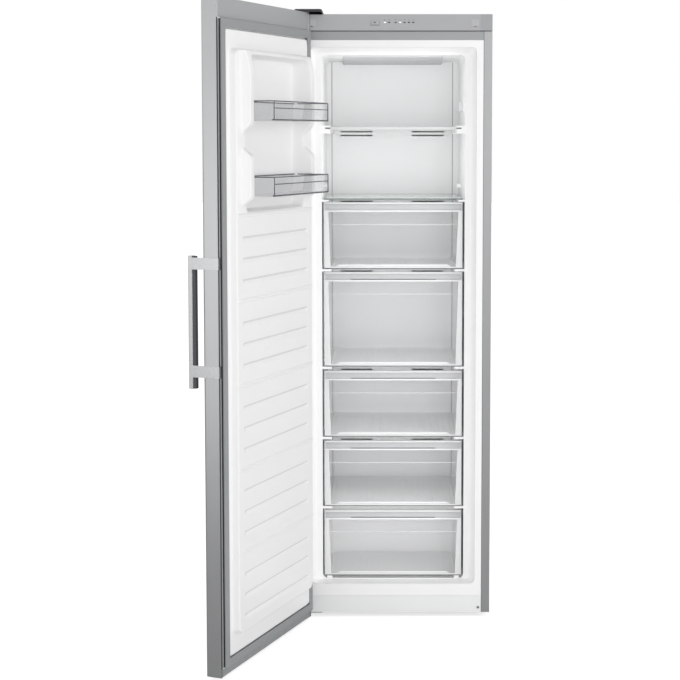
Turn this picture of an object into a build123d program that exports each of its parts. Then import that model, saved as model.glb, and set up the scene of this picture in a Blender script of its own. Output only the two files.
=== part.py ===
"""Upright frost-free freezer with its door standing open.

Millimetres, +Z up. The origin is on the floor at the centre of the cabinet's
footprint, and the front faces -Y. The door pieces are drawn closed and then
turned about the hinge to the angle at which the door stands.
"""

from build123d import *
from math import cos, radians, sin
import os

os.makedirs("parts", exist_ok=True)

# Cabinet body
cabinet_width = 595.0
cabinet_depth = 590.0
cabinet_height = 1835.0
floor_gap = 15.0
steel_sheet = 0.8
side_flange = 25.5
top_flange = 26.0

# Control fascia across the top of the front
fascia_height = 49.0
fascia_depth = 50.0
fascia_stand_out = 6.0
fascia_wall = 2.5
end_cap_width = 36.0
button_width = 21.8
button_height = 12.8
button_x = -56.6
button_travel = 1.0
lens_width = 6.0
lens_height = 3.6
lens_x = (-26.4, -13.4, 6.0, 19.6, 32.8, 46.0, 59.0)
screw_cap_size = 22.6
screw_cap_inset = 51.8

# Plinth
plinth_height = 53.0
plinth_thickness = 2.5
plinth_window = (49.0, 18.5)
plinth_window_proud = 0.1

# Cold space inside the liner
liner_wall = 2.0
mouth_inset = 46.0
mouth_rise = 90.0
mouth_top_below_flange = 20.6
mouth_straight_depth = 22.0
mouth_depth = 48.0
shoulder_inset = 59.5
space_inset = 78.7
space_floor_rise = 3.0
space_ceiling_drop = 21.0
rear_foam = 53.0
corner_radius = 16.0
shoulder_round = 5.0
chamber_margin = 19.3
chamber_depth = 60.0
machine_height = 247.0
machine_depth = 200.0
machine_foam = 61.0

# Glass shelves
glass = 4.0
upper_room = 224.4
lower_shelf_rise = 8.1
shelf_set_back = 50.0
shelf_block_width = 24.3
groove_margin = 10.3
lower_ledge_width = 18.8

# Drawers, listed from the bottom: the height of each front and the gap under it
drawer_side_gap = 5.8
drawer_heights = (207.0, 205.7, 205.7, 293.2, 205.2)
drawer_gaps = (7.9, 13.0, 13.1, 14.0, 9.6)
drawer_wall = 2.2
drawer_front_wall = 2.5
drawer_front_depth = 20.0
drawer_draft = 8.0
drawer_rear_gap = 8.0
grip_height = 24.0
stile_widths = (20.0, 12.0)
window_line_drop = 68.0
foot_strip = 6.0
foot_strip_inset = 18.0
rib_rise = 1.0
ledge_width = 28.8
ledge_thickness = 7.0
seat_gap = 0.3

# Door
door_thickness = 46.0
gasket_height = 10.6
gasket_width = 22.0
gasket_inset = 11.0
gasket_clearance = 0.4
door_liner_wall = 2.5
door_skin_return = 9.5
door_corner = 6.0
door_rest_angle = 111.7
hinge_inset = 15.5
hinge_stand_out = 36.0
pin_radius = 5.0
pin_clearance = 0.05
bush_wall = 3.0
apron_gap = 1.0
apron_stand_out = 10.5
dyke_side_gap = 3.5
dyke_height = 31.0
dyke_top_gap = 31.4
dyke_floor_gap = 12.5
tower_inset = 32.0
tower_width = 26.0
tower_height = 26.0
recess_depth = 35.0
recess_corner = 14.0
recess_below_top = (443.0, 15.0)
relief_round = 3.0
arch_rise = 9.0
bin_depth = 116.0
bin_height = 54.0
bin_wall = 2.4
bins_below_top = (194.0, 399.5)
bar_pitch = 231.7
bar_height = 10.0
bar_below_recess = 2.0
bar_stand_out = 4.0

# Handle
handle_bottom = 804.0
handle_length = 361.0
handle_bar_depth = 13.0
handle_grip_depth = 9.0
handle_bar_width = 17.0
handle_gap = 23.0
bracket_height = 32.0
bracket_strip = 3.0
bracket_lip = 10.0
lip_thickness = 2.4
bracket_from_bar_ends = (32.5, 4.5)

# Worked out from the above
half_width = cabinet_width / 2
front = -cabinet_depth / 2
rear = cabinet_depth / 2
base = floor_gap
top = base + cabinet_height
flange_top = top - fascia_height - 2.0
flange_bottom = flange_top - top_flange
mouth_half_width = half_width - mouth_inset
mouth_floor = base + mouth_rise
mouth_top = flange_bottom - mouth_top_below_flange
shoulder_half_width = half_width - shoulder_inset
space_half_width = half_width - space_inset
space_floor = mouth_floor + space_floor_rise
space_ceiling = mouth_top - space_ceiling_drop
chamber_rear = rear - rear_foam
chamber_half_width = space_half_width - chamber_margin
cover_plane = chamber_rear - chamber_depth
space_depth = cover_plane - front
machine_front = rear - machine_depth
machine_top = base + machine_height
step_top = machine_top + machine_foam
step_front = machine_front - machine_foam
drawer_plane = front + shelf_set_back
drawer_half_width = space_half_width - drawer_side_gap
ledge_half_gap = space_half_width - ledge_width
drawer_floors = []
level = space_floor
for drawer_gap, drawer_height in zip(drawer_gaps, drawer_heights):
    drawer_floors.append(level + drawer_gap)
    level += drawer_gap + drawer_height
lower_shelf_z = level + lower_shelf_rise
upper_shelf_z = space_ceiling - upper_room
shelf_block_half_gap = space_half_width - shelf_block_width
hinge_x = -half_width + hinge_inset
hinge_y = front - hinge_stand_out
door_inner = front - gasket_height - gasket_clearance
door_outer = door_inner - door_thickness
door_bottom = base - 2.7
door_top = top + 2.6
dyke_face = door_inner + dyke_height
dyke_half_width = mouth_half_width - dyke_side_gap
dyke_top = mouth_top - dyke_top_gap
dyke_bottom = mouth_floor + dyke_floor_gap
tower_half_width = dyke_half_width - tower_inset
tower_gap_half = tower_half_width - tower_width
recess_z = (dyke_top - recess_below_top[0], dyke_top - recess_below_top[1])
bin_floors = [dyke_top - drop for drop in bins_below_top]
gasket_z = (base + 22.0, flange_top - 2.0)
gasket_end_width = gasket_width + 2.0


def at_y(y):
    """Vertical plane facing the front, with X to the right and Z up."""
    return Plane.XZ.offset(-y)


def block(x, y, z, mode=Mode.ADD):
    """Box between pairs of limits."""
    with Locations(((x[0] + x[1]) / 2, (y[0] + y[1]) / 2, (z[0] + z[1]) / 2)):
        Box(x[1] - x[0], y[1] - y[0], z[1] - z[0], mode=mode)


def pair(x0, x1):
    """The two X spans, left and right, between the distances x0 and x1."""
    return ((-x1, -x0), (x0, x1))


def post(x, y, z, radius, mode=Mode.ADD):
    """Upright cylinder between two heights."""
    with Locations((x, y, (z[0] + z[1]) / 2)):
        Cylinder(radius, z[1] - z[0], mode=mode)


def upright_rounded(y, half, z, radius):
    """Rounded rectangle standing on the plane at y."""
    with BuildSketch(at_y(y), mode=Mode.PRIVATE) as outline:
        with Locations((0, (z[0] + z[1]) / 2)):
            RectangleRounded(2 * half, z[1] - z[0], radius)
    return outline.sketch


def write(piece, name):
    piece.label = name
    export_step(piece, f"parts/{name}.step")


door_pose = (
    Location((hinge_x, hinge_y, 0))
    * Location((0, 0, 0), (0, 0, -door_rest_angle))
    * Location((-hinge_x, -hinge_y, 0))
)


def write_door(piece, name):
    write(piece.moved(door_pose), name)


# %% Steel cabinet


def side_profile(inset):
    """Side view of the body, notched at the top front for the fascia."""
    notch_y = front + fascia_depth - fascia_stand_out + inset
    notch_z = flange_top - inset
    with BuildSketch(Plane.YZ, mode=Mode.PRIVATE) as profile:
        with BuildLine():
            Polyline(
                (front + inset, base),
                (rear, base),
                (rear, top - inset),
                (notch_y, top - inset),
                (notch_y, notch_z),
                (front + inset, notch_z),
                close=True,
            )
        make_face()
    return profile.sketch


with BuildPart() as outer_cabinet:
    extrude(side_profile(0), amount=half_width, both=True)
    extrude(side_profile(steel_sheet), amount=half_width - steel_sheet, both=True, mode=Mode.SUBTRACT)
    block(
        (side_flange - half_width, half_width - side_flange),
        (front, front + steel_sheet),
        (base, flange_bottom),
        mode=Mode.SUBTRACT,
    )

outer_cabinet.part.label = "outer_cabinet"
export_step(outer_cabinet.part, "parts/outer_cabinet.step")

bead_x = 150.0
bead_radius = 3.0
with BuildPart() as back_panel:
    block(
        (steel_sheet - half_width, half_width - steel_sheet),
        (rear - steel_sheet, rear),
        (machine_top, top - steel_sheet),
    )
    with BuildSketch(Plane.XY.offset(machine_top + corner_radius)):
        with Locations((-bead_x, rear), (bead_x, rear)):
            Circle(bead_radius)
        with Locations((0, rear - bead_radius - steel_sheet / 2)):
            Rectangle(cabinet_width, 2 * bead_radius + steel_sheet, mode=Mode.SUBTRACT)
    extrude(amount=top - machine_top - 2 * corner_radius)

back_panel.part.label = "back_panel"
export_step(back_panel.part, "parts/back_panel.step")

# %% Cold space, liner and foam


def cold_space(grow):
    """Solid of the cold space with its walls moved out by grow."""
    mouth_z = (mouth_floor - grow, mouth_top + grow)
    space_z = (space_floor - grow, space_ceiling + grow)
    with BuildPart() as space:
        mouth = upright_rounded(front, mouth_half_width + grow, mouth_z, corner_radius)
        extrude(mouth, amount=-mouth_straight_depth)
        bevel = mouth_half_width - shoulder_half_width
        shoulder_z = (mouth_z[0] + space_floor_rise / 2, mouth_z[1] - bevel)
        shoulder_y = front + mouth_depth + grow
        loft(
            [
                upright_rounded(
                    front + mouth_straight_depth,
                    mouth_half_width + grow,
                    mouth_z,
                    corner_radius,
                ),
                upright_rounded(shoulder_y, shoulder_half_width + grow, shoulder_z, corner_radius),
            ]
        )
        room = upright_rounded(front + mouth_straight_depth, space_half_width + grow, space_z, corner_radius)
        extrude(room, amount=-(space_depth - mouth_straight_depth + grow))
        block(
            (-chamber_half_width - grow, chamber_half_width + grow),
            (cover_plane, cover_plane + chamber_depth + grow),
            (step_top - grow, space_ceiling + grow),
        )
        block(
            (-half_width, half_width),
            (step_front + grow, rear),
            (base, step_top - grow),
            mode=Mode.SUBTRACT,
        )
    return space.part


ledge_tops = [z - seat_gap for z in drawer_floors]
ledge_front = front + mouth_depth + shoulder_round
shelf_block_below = 14.0
shelf_block_above = 10.0
shelf_groove_half = space_half_width - groove_margin
lower_ledge_half_gap = space_half_width - lower_ledge_width
stop_size = 12.0
stop_rise = 30.0

liner_inside = cold_space(0)
liner_outside = cold_space(liner_wall)

with BuildPart() as inner_liner:
    add(liner_outside)
    block(
        (side_flange - half_width + 0.1, half_width - side_flange - 0.1),
        (front, front + liner_wall),
        (base + plinth_height, flange_bottom - 0.1),
    )
    add(liner_inside, mode=Mode.SUBTRACT)
    for ledge_top in ledge_tops:
        if ledge_top < step_top:
            on_floor = pair(ledge_half_gap, space_half_width - corner_radius + 3)
            for x in on_floor:
                block(x, (ledge_front, step_front), (space_floor - liner_wall / 2, ledge_top))
            continue
        for x in pair(ledge_half_gap, space_half_width + liner_wall / 2):
            block(x, (ledge_front, cover_plane), (ledge_top - ledge_thickness, ledge_top))
    for x in pair(shelf_block_half_gap, space_half_width + liner_wall / 2):
        block(
            x,
            (ledge_front, cover_plane),
            (upper_shelf_z - shelf_block_below, upper_shelf_z + shelf_block_above),
        )
    for x in pair(shelf_block_half_gap - 1, shelf_groove_half):
        block(
            x,
            (ledge_front - 1, cover_plane),
            (upper_shelf_z - seat_gap, upper_shelf_z + glass + seat_gap),
            mode=Mode.SUBTRACT,
        )
    for x in pair(lower_ledge_half_gap, space_half_width + liner_wall / 2):
        block(x, (ledge_front, cover_plane), (lower_shelf_z - seat_gap - 6, lower_shelf_z - seat_gap))
    for x in pair(space_half_width - stop_size, space_half_width + liner_wall / 2):
        block(x, (0, 2 * stop_size), (lower_shelf_z + stop_rise, lower_shelf_z + stop_rise + stop_size))

inner_liner.part.label = "inner_liner"
export_step(inner_liner.part, "parts/inner_liner.step")

foot_x = half_width - 57.5
foot_y = front + 82.0
stud_radius = 5.0
thread_gap = 0.06
boss_radius = 9.0
boss_height = 30.0
pan_sheet = 1.5
roller_x = half_width - 67.5
roller_y = rear - 42.0
roller_radius = 13.0
roller_width = 14.0
axle_radius = 3.0
ear_thickness = 2.0
pan_top = base + pan_sheet

with BuildPart() as cabinet_insulation:
    foam_front = plinth_thickness + 0.5
    with BuildSketch(Plane.YZ):
        with BuildLine():
            Polyline(
                (front + foam_front, pan_top),
                (machine_front, pan_top),
                (machine_front, machine_top + 1.0),
                (rear - steel_sheet, machine_top + 1.0),
                (rear - steel_sheet, top - steel_sheet),
                (front + fascia_depth - fascia_stand_out + steel_sheet, top - steel_sheet),
                (front + fascia_depth - fascia_stand_out + steel_sheet, flange_top - steel_sheet),
                (front + foam_front, flange_top - steel_sheet),
                close=True,
            )
        make_face()
    extrude(amount=half_width - steel_sheet, both=True)
    add(liner_outside, mode=Mode.SUBTRACT)
    for x in (-foot_x, foot_x):
        post(x, foot_y, (pan_top, pan_top + boss_height), boss_radius, mode=Mode.SUBTRACT)

cabinet_insulation.part.label = "cabinet_insulation"
export_step(cabinet_insulation.part, "parts/cabinet_insulation.step")

# %% Base: pan, partition, feet, rollers and plinth

with BuildPart() as base_pan:
    block(
        (steel_sheet - half_width, half_width - steel_sheet),
        (front + plinth_thickness + 0.5, rear - 3.0),
        (base, pan_top),
    )
    for x in (-foot_x, foot_x):
        post(x, foot_y, (pan_top, pan_top + boss_height), boss_radius)
        post(x, foot_y, (base, pan_top + boss_height), stud_radius + thread_gap, mode=Mode.SUBTRACT)
    for x in (-roller_x, roller_x):
        slot = roller_width / 2 + 2.0
        block(
            (x - slot, x + slot),
            (roller_y - roller_radius - 3, roller_y + roller_radius + 3),
            (base, pan_top),
            mode=Mode.SUBTRACT,
        )
        for side in (-1, 1):
            ear = sorted((x + side * slot, x + side * (slot + ear_thickness)))
            block(ear, (roller_y - 8, roller_y + 8), (roller_radius - 5.5, pan_top))
        with BuildSketch(Plane.YZ.offset(x - slot - ear_thickness)):
            with Locations((roller_y, roller_radius)):
                Circle(axle_radius)
        extrude(amount=2 * (slot + ear_thickness))

base_pan.part.label = "base_pan"
export_step(base_pan.part, "parts/base_pan.step")

for side, x in (("left", -roller_x), ("right", roller_x)):
    with BuildPart() as roller:
        with BuildSketch(Plane.YZ.offset(x - roller_width / 2)):
            with Locations((roller_y, roller_radius)):
                Circle(roller_radius)
                Circle(axle_radius + pin_clearance, mode=Mode.SUBTRACT)
        extrude(amount=roller_width)
        chamfer(roller.edges().filter_by(GeomType.CIRCLE).sort_by(SortBy.RADIUS)[-2:], 1.5)
    write(roller.part, f"rear_roller_{side}")

foot_pad_radius = 16.0
foot_pad_height = 7.0
for side, x in (("left", -foot_x), ("right", foot_x)):
    with BuildPart() as foot:
        with BuildSketch(Plane.XZ.offset(-foot_y)):
            with BuildLine():
                Polyline(
                    (x, 0),
                    (x + foot_pad_radius, 0),
                    (x + foot_pad_radius, foot_pad_height - 2),
                    (x + boss_radius, foot_pad_height),
                    (x + boss_radius, base - 1),
                    (x + stud_radius, base - 1),
                    (x + stud_radius, pan_top + boss_height - 3),
                    (x, pan_top + boss_height - 3),
                    close=True,
                )
            make_face()
        revolve(axis=Axis((x, foot_y, 0), (0, 0, 1)))
    write(foot.part, f"levelling_foot_{side}")

partition_sheet = 1.0
with BuildPart() as machine_partition:
    with BuildSketch(Plane.YZ):
        with BuildLine():
            Polyline(
                (machine_front, pan_top),
                (machine_front, machine_top + partition_sheet),
                (rear - steel_sheet, machine_top + partition_sheet),
                (rear - steel_sheet, machine_top),
                (machine_front + partition_sheet, machine_top),
                (machine_front + partition_sheet, pan_top),
                close=True,
            )
        make_face()
    extrude(amount=half_width - steel_sheet, both=True)

machine_partition.part.label = "machine_partition"
export_step(machine_partition.part, "parts/machine_partition.step")

plinth_half = half_width - side_flange - 0.2
screw_radius = 2.6
plinth_screw_x = half_width - 35.0
plinth_screw_z = base + 15.5
with BuildPart() as plinth_panel:
    block(
        (-plinth_half, plinth_half),
        (front, front + plinth_thickness),
        (base + 0.3, base + plinth_height - 0.4),
    )
    block(
        (-plinth_window[0] / 2 - 3.6, plinth_window[0] / 2 - 3.6),
        (front - plinth_window_proud, front + plinth_thickness / 2),
        (base + 6.0, base + 6.0 + plinth_window[1]),
    )
    for x in (-plinth_screw_x, plinth_screw_x):
        with BuildSketch(at_y(front)):
            with Locations((x, plinth_screw_z)):
                Circle(screw_radius)
        extrude(amount=-plinth_thickness, mode=Mode.SUBTRACT)

plinth_panel.part.label = "plinth_panel"
export_step(plinth_panel.part, "parts/plinth_panel.step")

# %% Control fascia

fascia_front = front - fascia_stand_out
fascia_rear = fascia_front + fascia_depth
fascia_half = half_width - end_cap_width
fascia_z = (top - fascia_height, top)
control_z = top - 24.5
board_front = front + 10.0
screw_cap_x = half_width - screw_cap_inset
board_half = (80.0, 17.0)

with BuildPart() as control_fascia:
    block((-fascia_half, fascia_half), (fascia_front, fascia_rear), fascia_z)
    inner = fascia_half - fascia_wall
    block(
        (-inner, inner),
        (fascia_front + fascia_wall, fascia_rear),
        (fascia_z[0] + fascia_wall, fascia_z[1] - fascia_wall),
        mode=Mode.SUBTRACT,
    )
    with BuildSketch(at_y(fascia_front)):
        with Locations((button_x, control_z)):
            Rectangle(button_width + 0.6, button_height + 0.6)
        for x in lens_x:
            with Locations((x, control_z)):
                Rectangle(lens_width + 0.1, lens_height + 0.1)
        with Locations((-screw_cap_x, control_z - 2), (screw_cap_x, control_z - 2)):
            RectangleRounded(screw_cap_size + 0.4, screw_cap_size - 0.6, 3)
    extrude(amount=-fascia_wall, mode=Mode.SUBTRACT)
    for dx in (-board_half[0] + 5, board_half[0] - 5):
        with BuildSketch(at_y(fascia_front + fascia_wall)):
            with Locations((dx, control_z)):
                Circle(3.0)
        extrude(amount=-(board_front - fascia_front - fascia_wall))
    fillet(control_fascia.edges().filter_by(Axis.X).group_by(Axis.Y)[0].sort_by(Axis.Z)[-1], 2.0)

control_fascia.part.label = "control_fascia"
export_step(control_fascia.part, "parts/control_fascia.step")

with BuildPart() as fascia_end_caps:
    for side in (-1, 1):
        x = sorted((side * fascia_half, side * half_width))
        block(x, (fascia_front, fascia_rear), fascia_z)
        inner = sorted((side * (fascia_half + fascia_wall), side * (half_width - fascia_wall)))
        block(
            inner,
            (fascia_front + fascia_wall, fascia_rear),
            (fascia_z[0] + fascia_wall, fascia_z[1] - fascia_wall),
            mode=Mode.SUBTRACT,
        )
    outer = fascia_end_caps.edges().filter_by(Axis.Z).group_by(Axis.Y)[0]
    fillet([outer.sort_by(Axis.X)[0], outer.sort_by(Axis.X)[-1]], 2.2)

fascia_end_caps.part.label = "fascia_end_caps"
export_step(fascia_end_caps.part, "parts/fascia_end_caps.step")

with BuildPart() as fascia_screw_caps:
    for x in (-screw_cap_x, screw_cap_x):
        with BuildSketch(at_y(fascia_front - 0.4)):
            with Locations((x, control_z - 2)):
                RectangleRounded(screw_cap_size, screw_cap_size - 1, 2.8)
            with Locations((x, control_z - 1 - screw_cap_size / 2)):
                Rectangle(7.0, 3.0, mode=Mode.SUBTRACT)
        extrude(amount=-fascia_wall)

fascia_screw_caps.part.label = "fascia_screw_caps"
export_step(fascia_screw_caps.part, "parts/fascia_screw_caps.step")

with BuildPart() as indicator_lenses:
    for x in lens_x:
        with BuildSketch(at_y(fascia_front - 0.3)):
            with Locations((x, control_z)):
                Rectangle(lens_width, lens_height)
        extrude(amount=-(board_front - fascia_front + 0.3))

indicator_lenses.part.label = "indicator_lenses"
export_step(indicator_lenses.part, "parts/indicator_lenses.step")

board_thickness = 1.6
switch_gap = 0.2
with BuildPart() as control_board:
    block(
        (-board_half[0], board_half[0]),
        (board_front, board_front + board_thickness),
        (control_z - board_half[1], control_z + board_half[1]),
    )
    switch_front = fascia_front + fascia_wall + 4.0 + button_travel + switch_gap
    block((button_x - 6, button_x + 6), (switch_front, board_front), (control_z - 5, control_z + 5))
    block((-35, 70), (board_front + board_thickness, board_front + 8), (control_z - 8, control_z + 8))

control_board.part.label = "control_board"
export_step(control_board.part, "parts/control_board.step")

with BuildPart() as control_button:
    block(
        (button_x - button_width / 2, button_x + button_width / 2),
        (fascia_front - 1.4, fascia_front + fascia_wall + seat_gap),
        (control_z - button_height / 2, control_z + button_height / 2),
    )
    fillet(control_button.edges().group_by(Axis.Y)[0], 0.8)
    block(
        (button_x - button_width / 2 - 2.5, button_x + button_width / 2 + 2.5),
        (fascia_front + fascia_wall + seat_gap, fascia_front + fascia_wall + 2.0),
        (control_z - button_height / 2 - 2.5, control_z + button_height / 2 + 2.5),
    )
    block(
        (button_x - 3, button_x + 3),
        (fascia_front + fascia_wall + 2.0, fascia_front + fascia_wall + 4.0),
        (control_z - 3, control_z + 3),
    )

control_button.part.label = "control_button"
export_step(control_button.part, "parts/control_button.step")

# %% Hinges

plate = 3.2
arm_half = 12.5
hinge_pin_length = 12.0
hinge_run = 0.8
top_arm_z = door_top + hinge_run
hinge_plate_right = -half_width + 78.0
hinge_hole = 3.1

with BuildPart() as top_hinge_bracket:
    plate_front = fascia_rear + 4.0
    plate_rear = plate_front + 58.0
    block((-half_width + 4.0, hinge_plate_right), (plate_front, plate_rear), (top, top + plate))
    block(
        (-half_width + 4.0, hinge_x + arm_half + 14),
        (plate_front, plate_front + 22),
        (top, top_arm_z + plate),
    )
    block(
        (hinge_x - arm_half + 1, hinge_x + arm_half + 14),
        (hinge_y, plate_front + 22),
        (top_arm_z, top_arm_z + plate),
    )
    post(hinge_x, hinge_y, (top_arm_z, top_arm_z + plate), arm_half)
    post(hinge_x, hinge_y, (top_arm_z - hinge_pin_length, top_arm_z + plate), pin_radius)
    for x in (-half_width + 56, hinge_plate_right - 9):
        post(x, plate_rear - 14, (top, top + plate), hinge_hole, mode=Mode.SUBTRACT)

top_hinge_bracket.part.label = "top_hinge_bracket"
export_step(top_hinge_bracket.part, "parts/top_hinge_bracket.step")

with BuildPart() as case_screws:
    for x in (-plinth_screw_x, plinth_screw_x):
        with BuildSketch(at_y(front + plinth_thickness)):
            with Locations((x, plinth_screw_z)):
                Circle(screw_radius - 0.05)
        extrude(amount=plinth_thickness + 0.2)
        with BuildSketch(at_y(front - 0.2)):
            with Locations((x, plinth_screw_z)):
                Circle(screw_radius + 1.6)
        extrude(amount=1.6)
    chamfer(case_screws.edges().filter_by(GeomType.CIRCLE).group_by(Axis.Y)[0], 0.8)
    for x in (-half_width + 56, hinge_plate_right - 9):
        post(x, plate_rear - 14, (top, top + plate), hinge_hole - 0.05)
        with BuildSketch(Plane.XY.offset(top + plate)):
            with Locations((x, plate_rear - 14)):
                RegularPolygon(6.0, 6)
        extrude(amount=3.6)

case_screws.part.label = "case_screws"
export_step(case_screws.part, "parts/case_screws.step")

cover_wall = 2.0
hinge_cover_top = top + 12.0
with BuildPart() as top_hinge_cover:
    cover_x = (-half_width + 1.0, -half_width + 84.0)
    cover_y = (hinge_y - arm_half - 3.5, plate_rear + 4.0)
    middle = ((cover_x[0] + cover_x[1]) / 2, (cover_y[0] + cover_y[1]) / 2)
    with BuildSketch(Plane.XY.offset(top)):
        with Locations(middle):
            RectangleRounded(cover_x[1] - cover_x[0], cover_y[1] - cover_y[0], 7.0)
    extrude(amount=hinge_cover_top - top)
    chamfer(top_hinge_cover.edges().group_by(Axis.Z)[-1], 3.0)
    with BuildSketch(Plane.XY.offset(top)):
        with Locations(middle):
            RectangleRounded(
                cover_x[1] - cover_x[0] - 2 * cover_wall,
                cover_y[1] - cover_y[0] - 2 * cover_wall,
                7.0 - cover_wall,
            )
    extrude(amount=hinge_cover_top - top - cover_wall, mode=Mode.SUBTRACT)
    block(
        (cover_x[0], cover_x[1]),
        (cover_y[0], fascia_front - 0.4),
        (top, top_arm_z - 0.3),
        mode=Mode.SUBTRACT,
    )

top_hinge_cover.part.label = "top_hinge_cover"
export_step(top_hinge_cover.part, "parts/top_hinge_cover.step")

low_arm_z = door_bottom - hinge_run + 0.2
with BuildPart() as lower_hinge_bracket:
    low_front = front + plinth_thickness + 1.5
    block((-half_width + 5.0, hinge_plate_right), (low_front, low_front + 52), (base - plate, base))
    block(
        (-half_width + 5.0, hinge_x + arm_half + 10),
        (low_front, low_front + 10),
        (low_arm_z - plate, base),
    )
    block(
        (hinge_x - arm_half + 1, hinge_x + arm_half + 10),
        (hinge_y, low_front + 10),
        (low_arm_z - plate, low_arm_z),
    )
    post(hinge_x, hinge_y, (low_arm_z - plate, low_arm_z), arm_half)
    post(hinge_x, hinge_y, (low_arm_z - plate, low_arm_z + hinge_pin_length), pin_radius)

lower_hinge_bracket.part.label = "lower_hinge_bracket"
export_step(lower_hinge_bracket.part, "parts/lower_hinge_bracket.step")

# %% Air side: cover, hood, coil, heater, trough, fan and sensor

cover_thickness = 3.0
cover_gap = 0.3
slot_spans = (66.0, chamber_half_width - 27.5)
slot_height = 5.0
slots_below_drawer = (43.2, 72.8, 91.8)
slot_rows = [upper_shelf_z - 7.0, upper_shelf_z - 19.5, lower_shelf_z - 22.5]
slot_rows += [z - drop for z, drop in zip(drawer_floors[:1:-1], slots_below_drawer)]
fan_z = space_ceiling - 121.4
fan_radius = 48.0
fan_y = cover_plane + 12.0
fan_depth = 12.0
shroud_gap = 3.0
shroud_wall = 2.0

with BuildPart() as evaporator_cover:
    block(
        (-chamber_half_width + cover_gap, chamber_half_width - cover_gap),
        (cover_plane, cover_plane + cover_thickness),
        (step_top + cover_gap, space_ceiling - cover_gap),
    )
    with BuildSketch(at_y(cover_plane)):
        for z in slot_rows:
            for x0, x1 in pair(*slot_spans):
                with Locations(((x0 + x1) / 2, z)):
                    Rectangle(x1 - x0, slot_height)
    extrude(amount=-cover_thickness, mode=Mode.SUBTRACT)
    with BuildSketch(at_y(cover_plane + cover_thickness)):
        with Locations((0, fan_z)):
            Circle(fan_radius + shroud_gap + shroud_wall)
            Circle(fan_radius + shroud_gap, mode=Mode.SUBTRACT)
    extrude(amount=-(fan_y + fan_depth - cover_plane - cover_thickness))

evaporator_cover.part.label = "evaporator_cover"
export_step(evaporator_cover.part, "parts/evaporator_cover.step")

hood_half_width = chamber_half_width - 31.5
hood_front_drop = 3.0
hood_rear_drop = 10.4
hood_front = front + 100.0
with BuildPart() as air_intake_hood:
    with BuildSketch(Plane.YZ):
        with BuildLine():
            Polyline(
                (hood_front, space_ceiling),
                (cover_plane - cover_gap, space_ceiling),
                (cover_plane - cover_gap, space_ceiling - hood_rear_drop),
                (hood_front, space_ceiling - hood_front_drop),
                close=True,
            )
        make_face()
    extrude(amount=hood_half_width, both=True)
    fillet(air_intake_hood.edges().filter_by(Axis.Z), 1.0)

air_intake_hood.part.label = "air_intake_hood"
export_step(air_intake_hood.part, "parts/air_intake_hood.step")

coil_bottom = 660.0
coil_pitch = 48.0
coil_passes = 7
coil_half = chamber_half_width - 59.5
coil_tube = 4.0
coil_y = chamber_rear - 22.0
fin_count = 9
fin_thickness = 1.0
fin_depth = 40.0


def coil_path():
    """Level passes joined by half-round bends, rising from the bottom."""
    for k in range(coil_passes):
        z = coil_bottom + k * coil_pitch
        side = 1 if k % 2 == 0 else -1
        Line((-side * coil_half, z), (side * coil_half, z))
        if k < coil_passes - 1:
            bulge = side * (coil_half + coil_pitch / 2)
            ThreePointArc(
                (side * coil_half, z),
                (bulge, z + coil_pitch / 2),
                (side * coil_half, z + coil_pitch),
            )


with BuildPart() as evaporator_coil:
    with BuildLine(at_y(coil_y)) as passes:
        coil_path()
    with BuildSketch(Plane.YZ.offset(-coil_half)):
        with Locations((coil_y, coil_bottom)):
            RegularPolygon(coil_tube, 6)
    sweep(path=passes.line)
    fin_step = 2 * (coil_half - 12) / (fin_count - 1)
    coil_top = coil_bottom + (coil_passes - 1) * coil_pitch
    for k in range(fin_count):
        x = -coil_half + 12 + k * fin_step
        block(
            (x - fin_thickness / 2, x + fin_thickness / 2),
            (chamber_rear - fin_depth, chamber_rear),
            (coil_bottom - 16, coil_top + 16),
        )

evaporator_coil.part.label = "evaporator_coil"
export_step(evaporator_coil.part, "parts/evaporator_coil.step")

trough_z = (coil_bottom - 78.0, coil_bottom - 50.0)
trough_half = chamber_half_width - 21.5
trough_wall = 2.0
with BuildPart() as drain_trough:
    block((-trough_half, trough_half), (cover_plane + cover_thickness + 3, chamber_rear), trough_z)
    block(
        (-trough_half + trough_wall, trough_half - trough_wall),
        (cover_plane + cover_thickness + 3 + trough_wall, chamber_rear - trough_wall),
        (trough_z[0] + trough_wall, trough_z[1]),
        mode=Mode.SUBTRACT,
    )
    post(0, coil_y, (trough_z[0] - 22, trough_z[0] + trough_wall), 9.0)
    post(0, coil_y, (trough_z[0] - 22, trough_z[0] + trough_wall), 7.0, mode=Mode.SUBTRACT)

drain_trough.part.label = "drain_trough"
export_step(drain_trough.part, "parts/drain_trough.step")

heater_tube = 4.0
heater_bend = 11.0
heater_reach = coil_half + 15.0
heater_z = trough_z[0] + trough_wall + 8.0
with BuildPart() as defrost_heater:
    with BuildLine(Plane.XY.offset(heater_z)) as loop:
        FilletPolyline(
            (-heater_reach, coil_y - heater_bend),
            (heater_reach, coil_y - heater_bend),
            (heater_reach, coil_y + heater_bend),
            (-heater_reach, coil_y + heater_bend),
            radius=heater_bend - 0.5,
        )
    with BuildSketch(Plane.YZ.offset(-heater_reach)):
        with Locations((coil_y - heater_bend, heater_z)):
            RegularPolygon(heater_tube, 6)
    sweep(path=loop.line)
    for x in (-heater_reach + 45, heater_reach - 45):
        block((x - 4, x + 4), (coil_y - 16, coil_y + 16), (trough_z[0] + trough_wall, heater_z))

defrost_heater.part.label = "defrost_heater"
export_step(defrost_heater.part, "parts/defrost_heater.step")

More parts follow.
